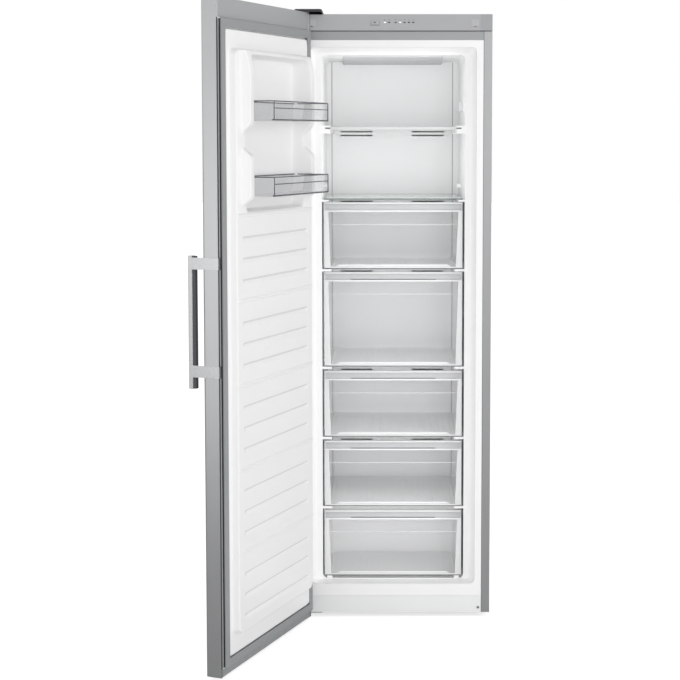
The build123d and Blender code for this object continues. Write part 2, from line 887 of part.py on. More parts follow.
shaft_radius = 2.0
motor_radius = 18.0
with BuildPart() as fan_motor:
    with BuildSketch(at_y(chamber_rear)):
        with Locations((0, fan_z)):
            Circle(motor_radius)
            Rectangle(120, 14)
    extrude(amount=4.0)
    with BuildSketch(at_y(chamber_rear)):
        with Locations((0, fan_z)):
            Circle(motor_radius)
    extrude(amount=chamber_rear - fan_y - fan_depth - 3.0)
    with BuildSketch(at_y(chamber_rear)):
        with Locations((0, fan_z)):
            Circle(shaft_radius)
    extrude(amount=chamber_rear - fan_y)

fan_motor.part.label = "fan_motor"
export_step(fan_motor.part, "parts/fan_motor.step")

hub_radius = 14.0
blade_count = 5
blade_pitch = 32.0
with BuildPart() as evaporator_fan:
    with BuildSketch(at_y(fan_y + fan_depth)):
        with Locations((0, fan_z)):
            Circle(hub_radius)
    extrude(amount=fan_depth)
    for k in range(blade_count):
        turn = radians(k * 360 / blade_count + 90)
        out = Vector(cos(turn), 0, sin(turn))
        root = Vector(0, fan_y + fan_depth / 2, fan_z) + out * (hub_radius - 2)
        with BuildSketch(Plane(origin=root, x_dir=Vector(-out.Z, 0, out.X), z_dir=out)):
            Rectangle(18, 1.4, rotation=blade_pitch)
        extrude(amount=fan_radius - hub_radius + 2)
    with BuildSketch(at_y(fan_y + fan_depth)):
        with Locations((0, fan_z)):
            Circle(shaft_radius + pin_clearance)
    extrude(amount=fan_depth, mode=Mode.SUBTRACT)

evaporator_fan.part.label = "evaporator_fan"
export_step(evaporator_fan.part, "parts/evaporator_fan.step")

sensor_z = (upper_shelf_z + 56.0, upper_shelf_z + 83.0)
with BuildPart() as temperature_sensor:
    block((space_half_width - 13, space_half_width), (front + 176, front + 196), sensor_z)
    fillet(temperature_sensor.edges().filter_by(Axis.Y).sort_by(Axis.X)[:2], 4.0)

temperature_sensor.part.label = "temperature_sensor"
export_step(temperature_sensor.part, "parts/temperature_sensor.step")

# %% Machine compartment

compressor_x = 95.0
compressor_y = (machine_front + rear) / 2 - 4
mount_z = pan_top + 8.0
shell_height = 150.0
shell_radius = 72.0
shell_foot = 52.0
shell_crown = 40.0
seam_rise = 86.0
relay_box = (46.0, 56.0, 66.0)
mount_spread = (72.0, 55.0)
mount_hole = 5.0
shell_floor = mount_z + 3.0
with BuildPart() as compressor:
    with BuildSketch(Plane.XZ.offset(-compressor_y)):
        with BuildLine():
            side_x = compressor_x + shell_radius
            Polyline(
                (compressor_x, shell_floor + shell_height),
                (compressor_x, shell_floor),
                (compressor_x + shell_foot, shell_floor),
                (side_x, shell_floor + 20),
                (side_x, shell_floor + seam_rise),
                (side_x + 4, shell_floor + seam_rise),
                (side_x + 4, shell_floor + seam_rise + 5),
                (side_x, shell_floor + seam_rise + 5),
            )
            Polyline(
                (side_x, shell_floor + seam_rise + 5),
                (side_x - 2, shell_floor + seam_rise + 32),
                (side_x - 12, shell_floor + shell_height - 12),
                (compressor_x + shell_crown, shell_floor + shell_height),
            )
            Line(
                (compressor_x + shell_crown, shell_floor + shell_height),
                (compressor_x, shell_floor + shell_height),
            )
        make_face()
    revolve(axis=Axis((compressor_x, compressor_y, 0), (0, 0, 1)))
    with BuildSketch(Plane.XY.offset(mount_z)):
        with Locations((compressor_x, compressor_y)):
            RectangleRounded(2 * mount_spread[0] + 30, 2 * mount_spread[1] + 26, 10)
            with GridLocations(2 * mount_spread[0], 2 * mount_spread[1], 2, 2):
                Circle(mount_hole, mode=Mode.SUBTRACT)
    extrude(amount=6.0)
    block(
        (compressor_x - shell_radius - 36, compressor_x - shell_radius + 10),
        (compressor_y - relay_box[1] / 2, compressor_y + relay_box[1] / 2),
        (shell_floor + 22, shell_floor + 22 + relay_box[2]),
    )

compressor.part.label = "compressor"
export_step(compressor.part, "parts/compressor.step")

with BuildPart() as compressor_mounts:
    with BuildSketch(Plane.XY.offset(pan_top)):
        with Locations((compressor_x, compressor_y)):
            with GridLocations(2 * mount_spread[0], 2 * mount_spread[1], 2, 2):
                RegularPolygon(9.0, 8)
    extrude(amount=mount_z - pan_top)
    with BuildSketch(Plane.XY.offset(mount_z)):
        with Locations((compressor_x, compressor_y)):
            with GridLocations(2 * mount_spread[0], 2 * mount_spread[1], 2, 2):
                Circle(mount_hole - 0.1)
    extrude(amount=12.0)

compressor_mounts.part.label = "compressor_mounts"
export_step(compressor_mounts.part, "parts/compressor_mounts.step")

tray_z = shell_floor + shell_height
tray_size = (170.0, 130.0, 28.0)
tray_wall = 2.0
with BuildPart() as drip_tray:
    with BuildSketch(Plane.XY.offset(tray_z)):
        with Locations((compressor_x, compressor_y)):
            RectangleRounded(tray_size[0], tray_size[1], 14)
    extrude(amount=tray_size[2])
    offset(amount=-tray_wall, openings=drip_tray.faces().sort_by(Axis.Z)[-1])

drip_tray.part.label = "drip_tray"
export_step(drip_tray.part, "parts/drip_tray.step")

pipe_radius = 3.0
drier_radius = 9.0
drier_x = -150.0
port_inset = 60.0
drier_span = (60.0, 42.0)
with BuildPart() as refrigerant_pipe:
    port = Vector(compressor_x - port_inset, compressor_y - port_inset, mount_z + 70)
    with BuildLine() as run:
        FilletPolyline(
            port + Vector(0, 8, 0),
            port + Vector(0, -16, 0),
            port + Vector(-60, -16, 0),
            port + Vector(-60, -16, 90),
            Vector(drier_x, port.Y - 16, port.Z + 90),
            Vector(drier_x, port.Y - 16, port.Z + 40),
            radius=9.0,
        )
    with BuildSketch(Plane(origin=run.line @ 0, z_dir=run.line % 0)):
        RegularPolygon(pipe_radius, 6)
    sweep(path=run.line)
    post(drier_x, port.Y - 16, (port.Z - drier_span[0], port.Z + drier_span[1]), drier_radius)
    post(drier_x, port.Y - 16, (pan_top, port.Z - drier_span[0] + 2), pipe_radius)

refrigerant_pipe.part.label = "refrigerant_pipe"
export_step(refrigerant_pipe.part, "parts/refrigerant_pipe.step")

vent_columns = 2
vent_rows = 9
vent_size = (180.0, 7.0)
vent_pitch = (230.0, 18.0)
with BuildPart() as rear_cover:
    block((4 - half_width, half_width - 4), (rear - 2.5, rear - 0.8), (pan_top, machine_top))
    with BuildSketch(at_y(rear)):
        with Locations((0, pan_top + 130)):
            with GridLocations(vent_pitch[0], vent_pitch[1], vent_columns, vent_rows):
                Rectangle(*vent_size)
    extrude(amount=3.0, mode=Mode.SUBTRACT)

rear_cover.part.label = "rear_cover"
export_step(rear_cover.part, "parts/rear_cover.step")

with BuildPart() as mains_inlet:
    inlet = (-half_width + 45, pan_top + 28)
    with BuildSketch(at_y(rear - steel_sheet)):
        with Locations(inlet):
            RectangleRounded(34, 26, 5)
    extrude(amount=-7.0)
    with BuildSketch(at_y(rear - steel_sheet + 7)):
        with Locations(inlet):
            Circle(8)
            Circle(4, mode=Mode.SUBTRACT)
    extrude(amount=-9.0)

mains_inlet.part.label = "mains_inlet"
export_step(mains_inlet.part, "parts/mains_inlet.step")

# %% Shelves

shelf_rear = cover_plane - drawer_rear_gap
shelf_trim_depth = 12.0
with BuildPart() as glass_shelf_upper:
    upper_half = shelf_groove_half - 0.5
    block((-upper_half, upper_half), (ledge_front + 2, shelf_rear), (upper_shelf_z, upper_shelf_z + glass))
    nose = shelf_block_half_gap - 1.5
    block((-nose, nose), (drawer_plane + 2, ledge_front + 2), (upper_shelf_z, upper_shelf_z + glass))

glass_shelf_upper.part.label = "glass_shelf_upper"
export_step(glass_shelf_upper.part, "parts/glass_shelf_upper.step")

with BuildPart() as shelf_trim_upper:
    block(
        (-nose, nose),
        (drawer_plane, drawer_plane + shelf_trim_depth),
        (upper_shelf_z - 2.5, upper_shelf_z + glass + 2.5),
    )
    block(
        (-nose, nose),
        (drawer_plane + 2, drawer_plane + shelf_trim_depth),
        (upper_shelf_z, upper_shelf_z + glass),
        mode=Mode.SUBTRACT,
    )
    fillet(shelf_trim_upper.edges().filter_by(Axis.X).group_by(Axis.Y)[0], 1.2)

shelf_trim_upper.part.label = "shelf_trim_upper"
export_step(shelf_trim_upper.part, "parts/shelf_trim_upper.step")

with BuildPart() as glass_shelf_lower:
    block(
        (-drawer_half_width, drawer_half_width),
        (ledge_front + 2, shelf_rear),
        (lower_shelf_z, lower_shelf_z + glass),
    )

glass_shelf_lower.part.label = "glass_shelf_lower"
export_step(glass_shelf_lower.part, "parts/glass_shelf_lower.step")

# %% Drawers


def drawer_front(floor, height, lip):
    """Moulded front: a grip channel over a clear window with turned-back edges."""
    ceiling = floor + height
    y = (drawer_plane, drawer_plane + drawer_front_depth)
    inner = drawer_half_width - drawer_front_wall
    grip_floor = ceiling - grip_height
    with BuildPart() as panel:
        extrude(upright_rounded(y[0], drawer_half_width, (floor, ceiling), 4.0), amount=-drawer_front_depth)
        window_z = (floor + drawer_front_wall, grip_floor - drawer_front_wall)
        low_half, high_half = (drawer_half_width - width for width in stile_widths)
        with BuildSketch(at_y(y[0] + drawer_front_wall)):
            with BuildLine():
                Polyline(
                    (-low_half, window_z[0]),
                    (low_half, window_z[0]),
                    (high_half, window_z[1]),
                    (-high_half, window_z[1]),
                    close=True,
                )
            make_face()
        extrude(amount=-drawer_front_depth, mode=Mode.SUBTRACT)
        line_z = ceiling - window_line_drop
        block(
            (-high_half + 1, high_half - 1),
            (y[0] + drawer_front_wall - 0.5, y[0] + drawer_front_wall + 1.2),
            (line_z - 1.2, line_z + 1.2),
        )
        with BuildSketch(at_y(y[0] + drawer_front_wall - 0.5)):
            with Locations((0, window_z[0] - 0.5)):
                foot_half = low_half - foot_strip_inset
                Trapezoid(2 * foot_half, foot_strip + 0.5, 45, align=(Align.CENTER, Align.MIN))
        extrude(amount=-2.5)
        block(
            (-inner, inner),
            (y[0], y[1] - drawer_front_wall),
            (grip_floor, ceiling - drawer_front_wall),
            mode=Mode.SUBTRACT,
        )
        if lip:
            with BuildSketch(at_y(y[0] + 4)):
                with Locations((0, floor)):
                    Trapezoid(2 * ledge_half_gap - 14, 7, 45, align=(Align.CENTER, Align.MAX))
            extrude(amount=-3.0)
    return panel.part


def drawer_tub(floor, height, back):
    """Open tub behind the front, narrowing downwards."""
    y0 = drawer_plane + drawer_front_depth
    depth = back - y0
    low = drawer_half_width - 6.0 - drawer_draft
    rim = floor + height - 4.0
    with BuildPart() as tub:
        for z, half in ((floor, low), (rim, low + drawer_draft)):
            with BuildSketch(Plane.XY.offset(z)):
                with Locations((0, y0 + depth / 2)):
                    RectangleRounded(2 * half, depth, 5.0)
        loft(ruled=True)
        for z, half in (
            (floor + drawer_wall, low - drawer_wall),
            (rim + 1, low + drawer_draft - drawer_wall),
        ):
            with BuildSketch(Plane.XY.offset(z)):
                with Locations((0, y0 + depth / 2)):
                    RectangleRounded(2 * half, depth - 2 * drawer_wall, 5.0 - drawer_wall)
        loft(ruled=True, mode=Mode.SUBTRACT)
        for k in range(-rib_count, rib_count + 1):
            x = k * rib_pitch
            block(
                (x - rib_width / 2, x + rib_width / 2),
                (y0 + 12, back - 12),
                (floor + drawer_wall / 2, floor + drawer_wall + rib_rise),
            )
    return tub.part


rib_count = 4
rib_pitch = 40.0
rib_width = 3.0
for number, floor in enumerate(reversed(drawer_floors), 1):
    height = drawer_heights[-number]
    back = (step_front if floor < step_top else cover_plane) - drawer_rear_gap
    write(drawer_front(floor, height, number == len(drawer_floors)), f"drawer_{number}_front")
    write(drawer_tub(floor, height, back), f"drawer_{number}_tub")

# %% Door, drawn closed

skin_half = half_width
core_half = half_width - steel_sheet
cap_bottom_top = base + 18.0
cap_top_bottom = flange_top + 1.0

with BuildPart() as door_skin:
    with BuildSketch(Plane.XY.offset(door_bottom)):
        with Locations((0, (door_inner + door_outer) / 2)):
            Rectangle(2 * skin_half, door_thickness)
        fillet(vertices().group_by(Axis.Y)[0], door_corner)
        with BuildSketch(mode=Mode.SUBTRACT):
            with Locations((0, (door_inner + door_outer) / 2)):
                Rectangle(2 * core_half, door_thickness - 2 * steel_sheet)
            fillet(vertices().group_by(Axis.Y)[0], door_corner - steel_sheet)
        with Locations((0, door_inner)):
            Rectangle(2 * (half_width - door_skin_return), 4 * steel_sheet, mode=Mode.SUBTRACT)
    extrude(amount=door_top - door_bottom)

door_skin.part.label = "door_skin"
export_step(door_skin.part.moved(door_pose), "parts/door_skin.step")


# Each tower: underside, top, the two slopes' lengths, how far the top stands out and the upper bow
tower_forms = (
    (dyke_top - 226.0, dyke_top, 22.0, 66.0, 9.0, 5.0),
    (dyke_top - 422.0, dyke_top - 271.0, 17.0, 18.0, 0.5, 0.6),
)
apron_half_width = half_width - gasket_inset - gasket_width - apron_gap
apron_z = (
    gasket_z[0] + gasket_end_width + apron_gap + 0.5,
    gasket_z[1] - gasket_end_width - apron_gap - 0.5,
)


def recess_outline(grow):
    """Outline of the recess between the towers, on its floor."""
    half = tower_gap_half + grow
    z = (recess_z[0] - grow, recess_z[1] + grow)
    return upright_rounded(dyke_face - recess_depth - grow, half, z, recess_corner + grow)


def door_relief(inset):
    """Moulded inner face of the door as a solid, its walls moved in by inset."""
    face = dyke_face - inset
    wall = door_inner - steel_sheet - inset
    with BuildPart() as relief:
        low_z = (apron_z[0] + inset, apron_z[1] - inset)
        apron = upright_rounded(wall - 1, apron_half_width - inset, low_z, corner_radius / 2)
        extrude(apron, amount=-(door_inner + apron_stand_out - inset - wall + 1))
        field_z = (dyke_bottom + inset, dyke_top - inset)
        field = upright_rounded(wall - 1, dyke_half_width - inset, field_z, corner_radius)
        extrude(field, amount=-(face - wall + 1))
        if inset == 0:
            fillet(relief.faces().sort_by(Axis.Y)[-1].edges(), relief_round)
        for low, high, slope_low, slope_high, rise_high, bow in tower_forms:
            crest = (dyke_face + tower_height - inset, high - slope_high - inset / 2)
            brow = (dyke_face + rise_high - inset, high - inset)
            middle = ((crest[0] + brow[0]) / 2 + bow, (crest[1] + brow[1]) / 2 + bow / 3)
            with BuildSketch(Plane.YZ.offset(tower_gap_half + inset)):
                with BuildLine():
                    ThreePointArc(crest, middle, brow)
                    Polyline(
                        brow,
                        (face - 1, high - inset),
                        (face - 1, low + inset),
                        (face + inset, low + inset),
                        (dyke_face + tower_height - inset, low + slope_low + inset / 2),
                        crest,
                    )
                make_face()
            extrude(amount=tower_width - 2 * inset)
        mirror(about=Plane.YZ)
        arch_z = (recess_z[1] - recess_corner, dyke_top - inset)
        block((-tower_half_width + inset, tower_half_width - inset), (face - 1, face + arch_rise), arch_z)
        extrude(recess_outline(inset), amount=-(recess_depth + inset + tower_height + 1), mode=Mode.SUBTRACT)
    return relief.part


bin_half_width = tower_gap_half - 2.5
bin_ledge = 9.0
bin_ledge_thickness = 5.7
groove_half_width = dyke_half_width - 37.0
groove_depth = 1.6
groove_height = 9.0
bar_top = recess_z[0] - bar_below_recess
bar_count = int((bar_top - dyke_bottom - 2 * bar_height) / bar_pitch) + 1
tab_reach = 1.0
liner_face = door_inner - steel_sheet

relief_outside = door_relief(0)
relief_inside = door_relief(door_liner_wall)

with BuildPart() as door_liner:
    block(
        (-core_half, core_half),
        (liner_face - door_liner_wall, liner_face),
        (cap_bottom_top, cap_top_bottom),
    )
    add(relief_outside)
    add(relief_inside, mode=Mode.SUBTRACT)
    extrude(recess_outline(door_liner_wall), amount=-(2 * door_liner_wall + 1))
    extrude(recess_outline(0), amount=-(recess_depth + tower_height), mode=Mode.SUBTRACT)
    for k in range(bar_count):
        z = bar_top - k * bar_pitch
        reach = dyke_half_width + tab_reach
        block(
            (-dyke_half_width, dyke_half_width),
            (dyke_face, dyke_face + bar_stand_out),
            (z - bar_height, z),
        )
        for x in pair(dyke_half_width - 1, reach):
            block(x, (dyke_face - 8, dyke_face), (z - bar_height, z))
        for j in (1, 2, 3):
            groove = z - bar_height / 2 - j * bar_pitch / 4
            if groove < dyke_bottom + groove_height:
                continue
            with BuildSketch(Plane.YZ.offset(-groove_half_width)):
                with BuildLine():
                    Polyline(
                        (dyke_face + 1, groove + 1),
                        (dyke_face - groove_depth, groove),
                        (dyke_face + 1, groove - groove_height),
                        close=True,
                    )
                make_face()
            extrude(amount=2 * groove_half_width, mode=Mode.SUBTRACT)
    for floor in bin_floors:
        for x in pair(bin_half_width - bin_ledge, tower_gap_half + 1):
            block(
                x,
                (dyke_face - recess_depth, dyke_face + tower_height - 3),
                (floor - seat_gap - bin_ledge_thickness, floor - seat_gap),
            )

door_liner.part.label = "door_liner"
export_step(door_liner.part.moved(door_pose), "parts/door_liner.step")

with BuildPart() as door_insulation:
    block(
        (-core_half, core_half),
        (door_outer + steel_sheet, liner_face - door_liner_wall),
        (cap_bottom_top, cap_top_bottom),
    )
    add(relief_inside)
    extrude(recess_outline(door_liner_wall), amount=-recess_depth, mode=Mode.SUBTRACT)
    fillet(edges().filter_by(Axis.Z).group_by(Axis.Y)[0], door_corner - steel_sheet)

door_insulation.part.label = "door_insulation"
export_step(door_insulation.part.moved(door_pose), "parts/door_insulation.step")

gasket_layers = ((0.0, 3.6, 0.0), (3.6, 5.0, 3.0), (5.0, 7.0, 0.6), (7.0, 8.4, 3.0), (8.4, 11.4, 0.0))


def gasket_ring(y, inset):
    """One layer of the ring, its lips drawn in by inset."""
    outer_half = half_width - gasket_inset - inset
    inner_half = half_width - gasket_inset - gasket_width + inset
    centre = (gasket_z[0] + gasket_z[1]) / 2
    height = gasket_z[1] - gasket_z[0] - 2 * inset
    inner_height = gasket_z[1] - gasket_z[0] - 2 * gasket_end_width + 2 * inset
    with BuildSketch(at_y(y[1]), mode=Mode.PRIVATE) as ring:
        with Locations((0, centre)):
            Rectangle(2 * outer_half, height)
            Rectangle(2 * inner_half, inner_height, mode=Mode.SUBTRACT)
    extrude(ring.sketch, amount=y[1] - y[0])


with BuildPart() as door_gasket:
    for n0, n1, inset in gasket_layers:
        gasket_front = front - gasket_clearance
        gasket_ring((gasket_front - n1, gasket_front - n0), inset)

door_gasket.part.label = "door_gasket"
export_step(door_gasket.part.moved(door_pose), "parts/door_gasket.step")

cap_wall = 3.0
bush_radius = pin_radius + pin_clearance + bush_wall
bush_length = hinge_pin_length + 1.0


def door_cap(z_open, z_end):
    """End cap: a plate with a rim towards the foam and a boss for the bush."""
    low, high = sorted((z_open, z_end))
    y = (door_outer + steel_sheet, liner_face)
    with BuildPart() as cap:
        block((-core_half, core_half), y, (low, high))
        fillet(cap.edges().filter_by(Axis.Z).group_by(Axis.Y)[0], door_corner - steel_sheet)
        inner = core_half - cap_wall
        hollow = (low - 1, high - cap_wall) if z_end > z_open else (low + cap_wall, high + 1)
        block((-inner, inner), (y[0] + cap_wall, y[1] - cap_wall), hollow, mode=Mode.SUBTRACT)
        boss = (z_end - bush_length - 2, z_end) if z_end > z_open else (z_end, z_end + bush_length + 2)
        post(hinge_x, hinge_y, boss, bush_radius + 2.4)
        post(hinge_x, hinge_y, (low - 1, high + 1), bush_radius + 0.02, mode=Mode.SUBTRACT)
    return cap.part


write_door(door_cap(cap_top_bottom, door_top), "door_top_cap")
write_door(door_cap(cap_bottom_top, door_bottom), "door_bottom_cap")

with BuildPart() as hinge_bushes:
    for z in ((door_top - bush_length, door_top), (door_bottom, door_bottom + bush_length)):
        post(hinge_x, hinge_y, z, bush_radius)
        post(hinge_x, hinge_y, z, pin_radius + pin_clearance, mode=Mode.SUBTRACT)

hinge_bushes.part.label = "hinge_bushes"
export_step(hinge_bushes.part.moved(door_pose), "parts/hinge_bushes.step")

# %% Handle

handle_top = handle_bottom + handle_length
grip_inner = door_outer - handle_gap
bar_inner = grip_inner - handle_grip_depth
bar_outer = bar_inner - handle_bar_depth
bar_x = (half_width - handle_bar_width, half_width)
bracket_z = (
    (handle_bottom + bracket_from_bar_ends[0], handle_bottom + bracket_from_bar_ends[0] + bracket_height),
    (handle_top - bracket_from_bar_ends[1] - bracket_height, handle_top - bracket_from_bar_ends[1]),
)

with BuildPart() as handle_bar:
    block(bar_x, (bar_outer, bar_inner), (handle_bottom, handle_top))
    fillet(handle_bar.edges().filter_by(Axis.Z), 1.5)

handle_bar.part.label = "handle_bar"
export_step(handle_bar.part.moved(door_pose), "parts/handle_bar.step")

with BuildPart() as handle_grip:
    grip_x = (bar_x[0] + 1.0, bar_x[1] - 1.0)
    block(grip_x, (bar_inner, grip_inner), (handle_bottom + 1.0, handle_top - 1.0))
    fillet(handle_grip.edges().filter_by(Axis.Z).group_by(Axis.Y)[-1], 3.0)

handle_grip.part.label = "handle_grip"
export_step(handle_grip.part.moved(door_pose), "parts/handle_grip.step")

with BuildPart() as handle_brackets:
    for z in bracket_z:
        with BuildSketch(Plane.XY.offset(z[0])):
            with BuildLine():
                strip_outer = half_width + bracket_strip
                Polyline(
                    (strip_outer, bar_outer + 3.0),
                    (strip_outer, door_inner + lip_thickness),
                    (half_width - bracket_lip, door_inner + lip_thickness),
                    (half_width - bracket_lip, door_inner),
                    (half_width, door_inner),
                    (half_width, bar_outer + 3.0),
                    close=True,
                )
            make_face()
        extrude(amount=z[1] - z[0])

handle_brackets.part.label = "handle_brackets"
export_step(handle_brackets.part.moved(door_pose), "parts/handle_brackets.step")

# %% Door bins

for name, floor in zip(("upper", "lower"), bin_floors):
    with BuildPart() as door_bin:
        back = dyke_face - recess_depth + 1.0
        with BuildSketch(Plane.XY.offset(floor)):
            with Locations((0, back + bin_depth / 2)):
                RectangleRounded(2 * bin_half_width, bin_depth, 6.0)
        extrude(amount=bin_height)
        offset(amount=-bin_wall, openings=door_bin.faces().sort_by(Axis.Z)[-1])
        rail_z = floor + bin_height * 0.62
        block(
            (8 - bin_half_width, bin_half_width - 8),
            (back + bin_depth - 0.5, back + bin_depth + 1.2),
            (rail_z, rail_z + 2.4),
        )
    write_door(door_bin.part, f"door_bin_{name}")
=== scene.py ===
# %% [markdown]
# # An upright freezer with its door open
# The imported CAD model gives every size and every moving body. This script keeps that frame still and
# dresses it: it gives each visible CAD piece a finish, and makes new surfaces where the real freezer has
# soft mouldings, clear plastic and folds that a plain solid doesn't show. All drawing is in millimetres.

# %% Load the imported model
import bpy
import numpy as np
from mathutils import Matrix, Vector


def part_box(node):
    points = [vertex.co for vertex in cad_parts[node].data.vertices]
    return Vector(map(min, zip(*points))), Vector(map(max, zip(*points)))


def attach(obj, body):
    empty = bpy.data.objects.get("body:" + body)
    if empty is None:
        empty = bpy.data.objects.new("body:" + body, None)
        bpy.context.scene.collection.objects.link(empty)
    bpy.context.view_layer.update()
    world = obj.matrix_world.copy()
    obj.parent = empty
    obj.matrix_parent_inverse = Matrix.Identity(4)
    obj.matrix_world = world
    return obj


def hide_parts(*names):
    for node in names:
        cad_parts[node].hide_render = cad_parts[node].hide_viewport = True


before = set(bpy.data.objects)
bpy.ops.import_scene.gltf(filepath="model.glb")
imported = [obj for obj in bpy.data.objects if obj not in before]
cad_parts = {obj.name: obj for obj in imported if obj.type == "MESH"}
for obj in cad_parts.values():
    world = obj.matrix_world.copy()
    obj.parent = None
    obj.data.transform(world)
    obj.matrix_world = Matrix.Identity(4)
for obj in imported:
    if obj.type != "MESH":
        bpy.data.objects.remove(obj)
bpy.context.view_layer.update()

# %% [markdown]
# ## The camera
# The picture was taken level, from the height of the upper shelf, with the lens shifted down so that the
# uprights stay parallel. A large shift would push the freezer out of every other view, so most of it is
# turned into a small downward pitch. Place, pitch and lens were solved so that known corners of the
# cabinet, the shelves and the door fall within a few pixels of where the picture has them.

# %% Camera
camera_place = (-0.0428, -4.9905, 1.4836)
camera_pitch = 4.573
camera_data = bpy.data.cameras.new("studio_camera")
camera_data.sensor_width = 36.0
camera_data.lens = 81.96
camera_data.shift_x = -0.0579
camera_data.shift_y = -0.117
camera = bpy.data.objects.new("studio_camera", camera_data)
camera.location = camera_place
camera.rotation_euler = (np.radians(90.0 - camera_pitch), 0.0, 0.0)
bpy.context.scene.collection.objects.link(camera)
bpy.context.scene.camera = camera
bpy.context.scene.view_settings.view_transform = "Standard"
print("camera lens", camera_data.lens, "shift", camera_data.shift_x, camera_data.shift_y)

# %% [markdown]
# ## Turning grids of points into pieces
# A surface is a table of points: going down a column changes one parameter and going along a row changes
# the other. Four neighbours make one face. Whole numpy arrays do this far faster than a Python loop over
# points. Faces are ordered so that their outer side is (change down a column) x (change along a row).

# %% Grid helpers
def box_mm(node):
    """Low and high corner of a CAD node's box, in millimetres."""
    return [np.array(corner) * 1000.0 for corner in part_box(node)]


def grid_faces(rows, columns, wrap_rows=False, wrap_columns=False):
    """Quads between neighbouring points of a table, with the last joined to the first where it wraps."""
    row = np.arange(rows if wrap_rows else rows - 1)
    column = np.arange(columns if wrap_columns else columns - 1)
    i, j = np.meshgrid(row, column, indexing="ij")
    below, right = (i + 1) % rows, (j + 1) % columns
    corners = [i * columns + j, below * columns + j, below * columns + right, i * columns + right]
    return np.stack(corners, axis=-1).reshape(-1, 4)


def grid_part(points, wrap_rows=False, wrap_columns=False, flip=False):
    """A table of points, shaped (rows, columns, 3), as a (points, faces) part."""
    rows, columns = points.shape[:2]
    faces = grid_faces(rows, columns, wrap_rows, wrap_columns)
    return points.reshape(-1, 3), faces[:, ::-1] if flip else faces


def joined(parts):
    """Several (points, faces) parts as one."""
    starts = np.cumsum([0] + [len(points) for points, faces in parts[:-1]])
    points = np.concatenate([points for points, faces in parts])
    faces = np.concatenate([faces + start for (points_, faces), start in zip(parts, starts)])
    return points, faces

# %% [markdown]
# ## Putting a piece on its body
# Every new piece rides on one body of the CAD frame, so it moves with its joint. Where it stands for CAD
# nodes, those are named and hidden. Faces are shaded smooth, and edges sharper than an angle stay crisp.

# %% Piece helper
def add_piece(name, part, finish, body, replaces=(), indices=None, sharp=32.0):
    """A (points, faces) part in millimetres as a Blender piece that rides on a body."""
    points, faces = part
    mesh = bpy.data.meshes.new(name)
    mesh.from_pydata((np.asarray(points) / 1000.0).tolist(), [], faces.tolist())
    for each in finish if isinstance(finish, (list, tuple)) else [finish]:
        mesh.materials.append(each)
    if indices is not None:
        mesh.polygons.foreach_set("material_index", np.asarray(indices, dtype=np.int32))
    mesh.polygons.foreach_set("use_smooth", np.ones(len(faces), dtype=bool))
    mesh.set_sharp_from_angle(angle=np.radians(sharp))
    mesh.update()
    piece = bpy.data.objects.new(name, mesh)
    bpy.context.scene.collection.objects.link(piece)
    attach(piece, body)
    if replaces:
        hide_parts(*replaces)
    print(name, "on", body, "faces", len(faces))

# %% [markdown]
# ## A box with soft edges
# Moulded and cast parts never end in a knife edge. This box starts as points on a plain box; each point is
# pulled towards the nearest point of a smaller inner box and then pushed out again by the edge radius.
# Flat faces don't change, edges become quarter rounds and corners become eighths of a ball.

# %% Soft box
def soft_box(x, y, z, radius):
    """Box between pairs of limits: the inner box's nearest point plus the radius times the way out."""
    limits = np.array([x, y, z], dtype=float)
    centre, half = limits.mean(axis=1), (limits[:, 1] - limits[:, 0]) / 2
    inner = half - radius
    ramp = np.array([0.0, 0.29, 0.62, 1.0]) * radius
    parts = []
    for axis in range(3):
        u, v = (axis + 1) % 3, (axis + 2) % 3
        lines = [np.concatenate([-half[k] + ramp, half[k] - ramp[::-1]]) for k in (u, v)]
        a, b = np.meshgrid(*lines, indexing="ij")
        for side in (-1, 1):
            points = np.zeros(a.shape + (3,))
            points[..., axis], points[..., u], points[..., v] = side * half[axis], a, b
            near = np.clip(points, -inner, inner)
            way = points - near
            length = np.maximum(np.linalg.norm(way, axis=-1, keepdims=True), 1e-9)
            parts.append(grid_part(centre + near + radius * way / length, flip=side < 0))
    points, faces = joined(parts)
    rounded = np.round(points, 4)
    first, where = np.unique(rounded, axis=0, return_index=True, return_inverse=True)[1:]
    return points[first], where.reshape(-1)[faces]


def mirrored(near, far, y, z, radius):
    """Left and right soft box, each from near to far out from the middle."""
    return [soft_box(sorted((side * near, side * far)), y, z, radius) for side in (-1, 1)]


print("a soft box has", len(soft_box((-1, 1), (-1, 1), (-1, 1), 0.2)[1]), "faces")

# %% [markdown]
# ## The opened door
# The door is drawn closed, where its sizes are easy to compare with the cabinet's. A turn about the hinge
# carries the drawing to where the open door stands.

# %% Door pose
hinge_x, hinge_y = -282.0, -331.0
door_turn = np.radians(111.7)


def on_door(part):
    """Turns a part drawn on the closed door about the upright hinge line to the open position."""
    points, faces = part
    along, inward = points[:, 0] - hinge_x, points[:, 1] - hinge_y
    x = hinge_x + along * np.cos(door_turn) + inward * np.sin(door_turn)
    y = hinge_y - along * np.sin(door_turn) + inward * np.cos(door_turn)
    return np.stack([x, y, points[:, 2]], axis=-1), faces

# %% [markdown]
# ## Effects that several finishes share
# Three small node groups carry them. `fine_grain` is the faint orange peel of a moulded face,
# `brushed_lines` the long narrow streak of brushed sheet, and `handled_marks` the broad, faint unevenness
# that wiping leaves. They read Object coordinates in metres, so a scale of 900 gives features of about a
# millimetre, and they put out plain values only.

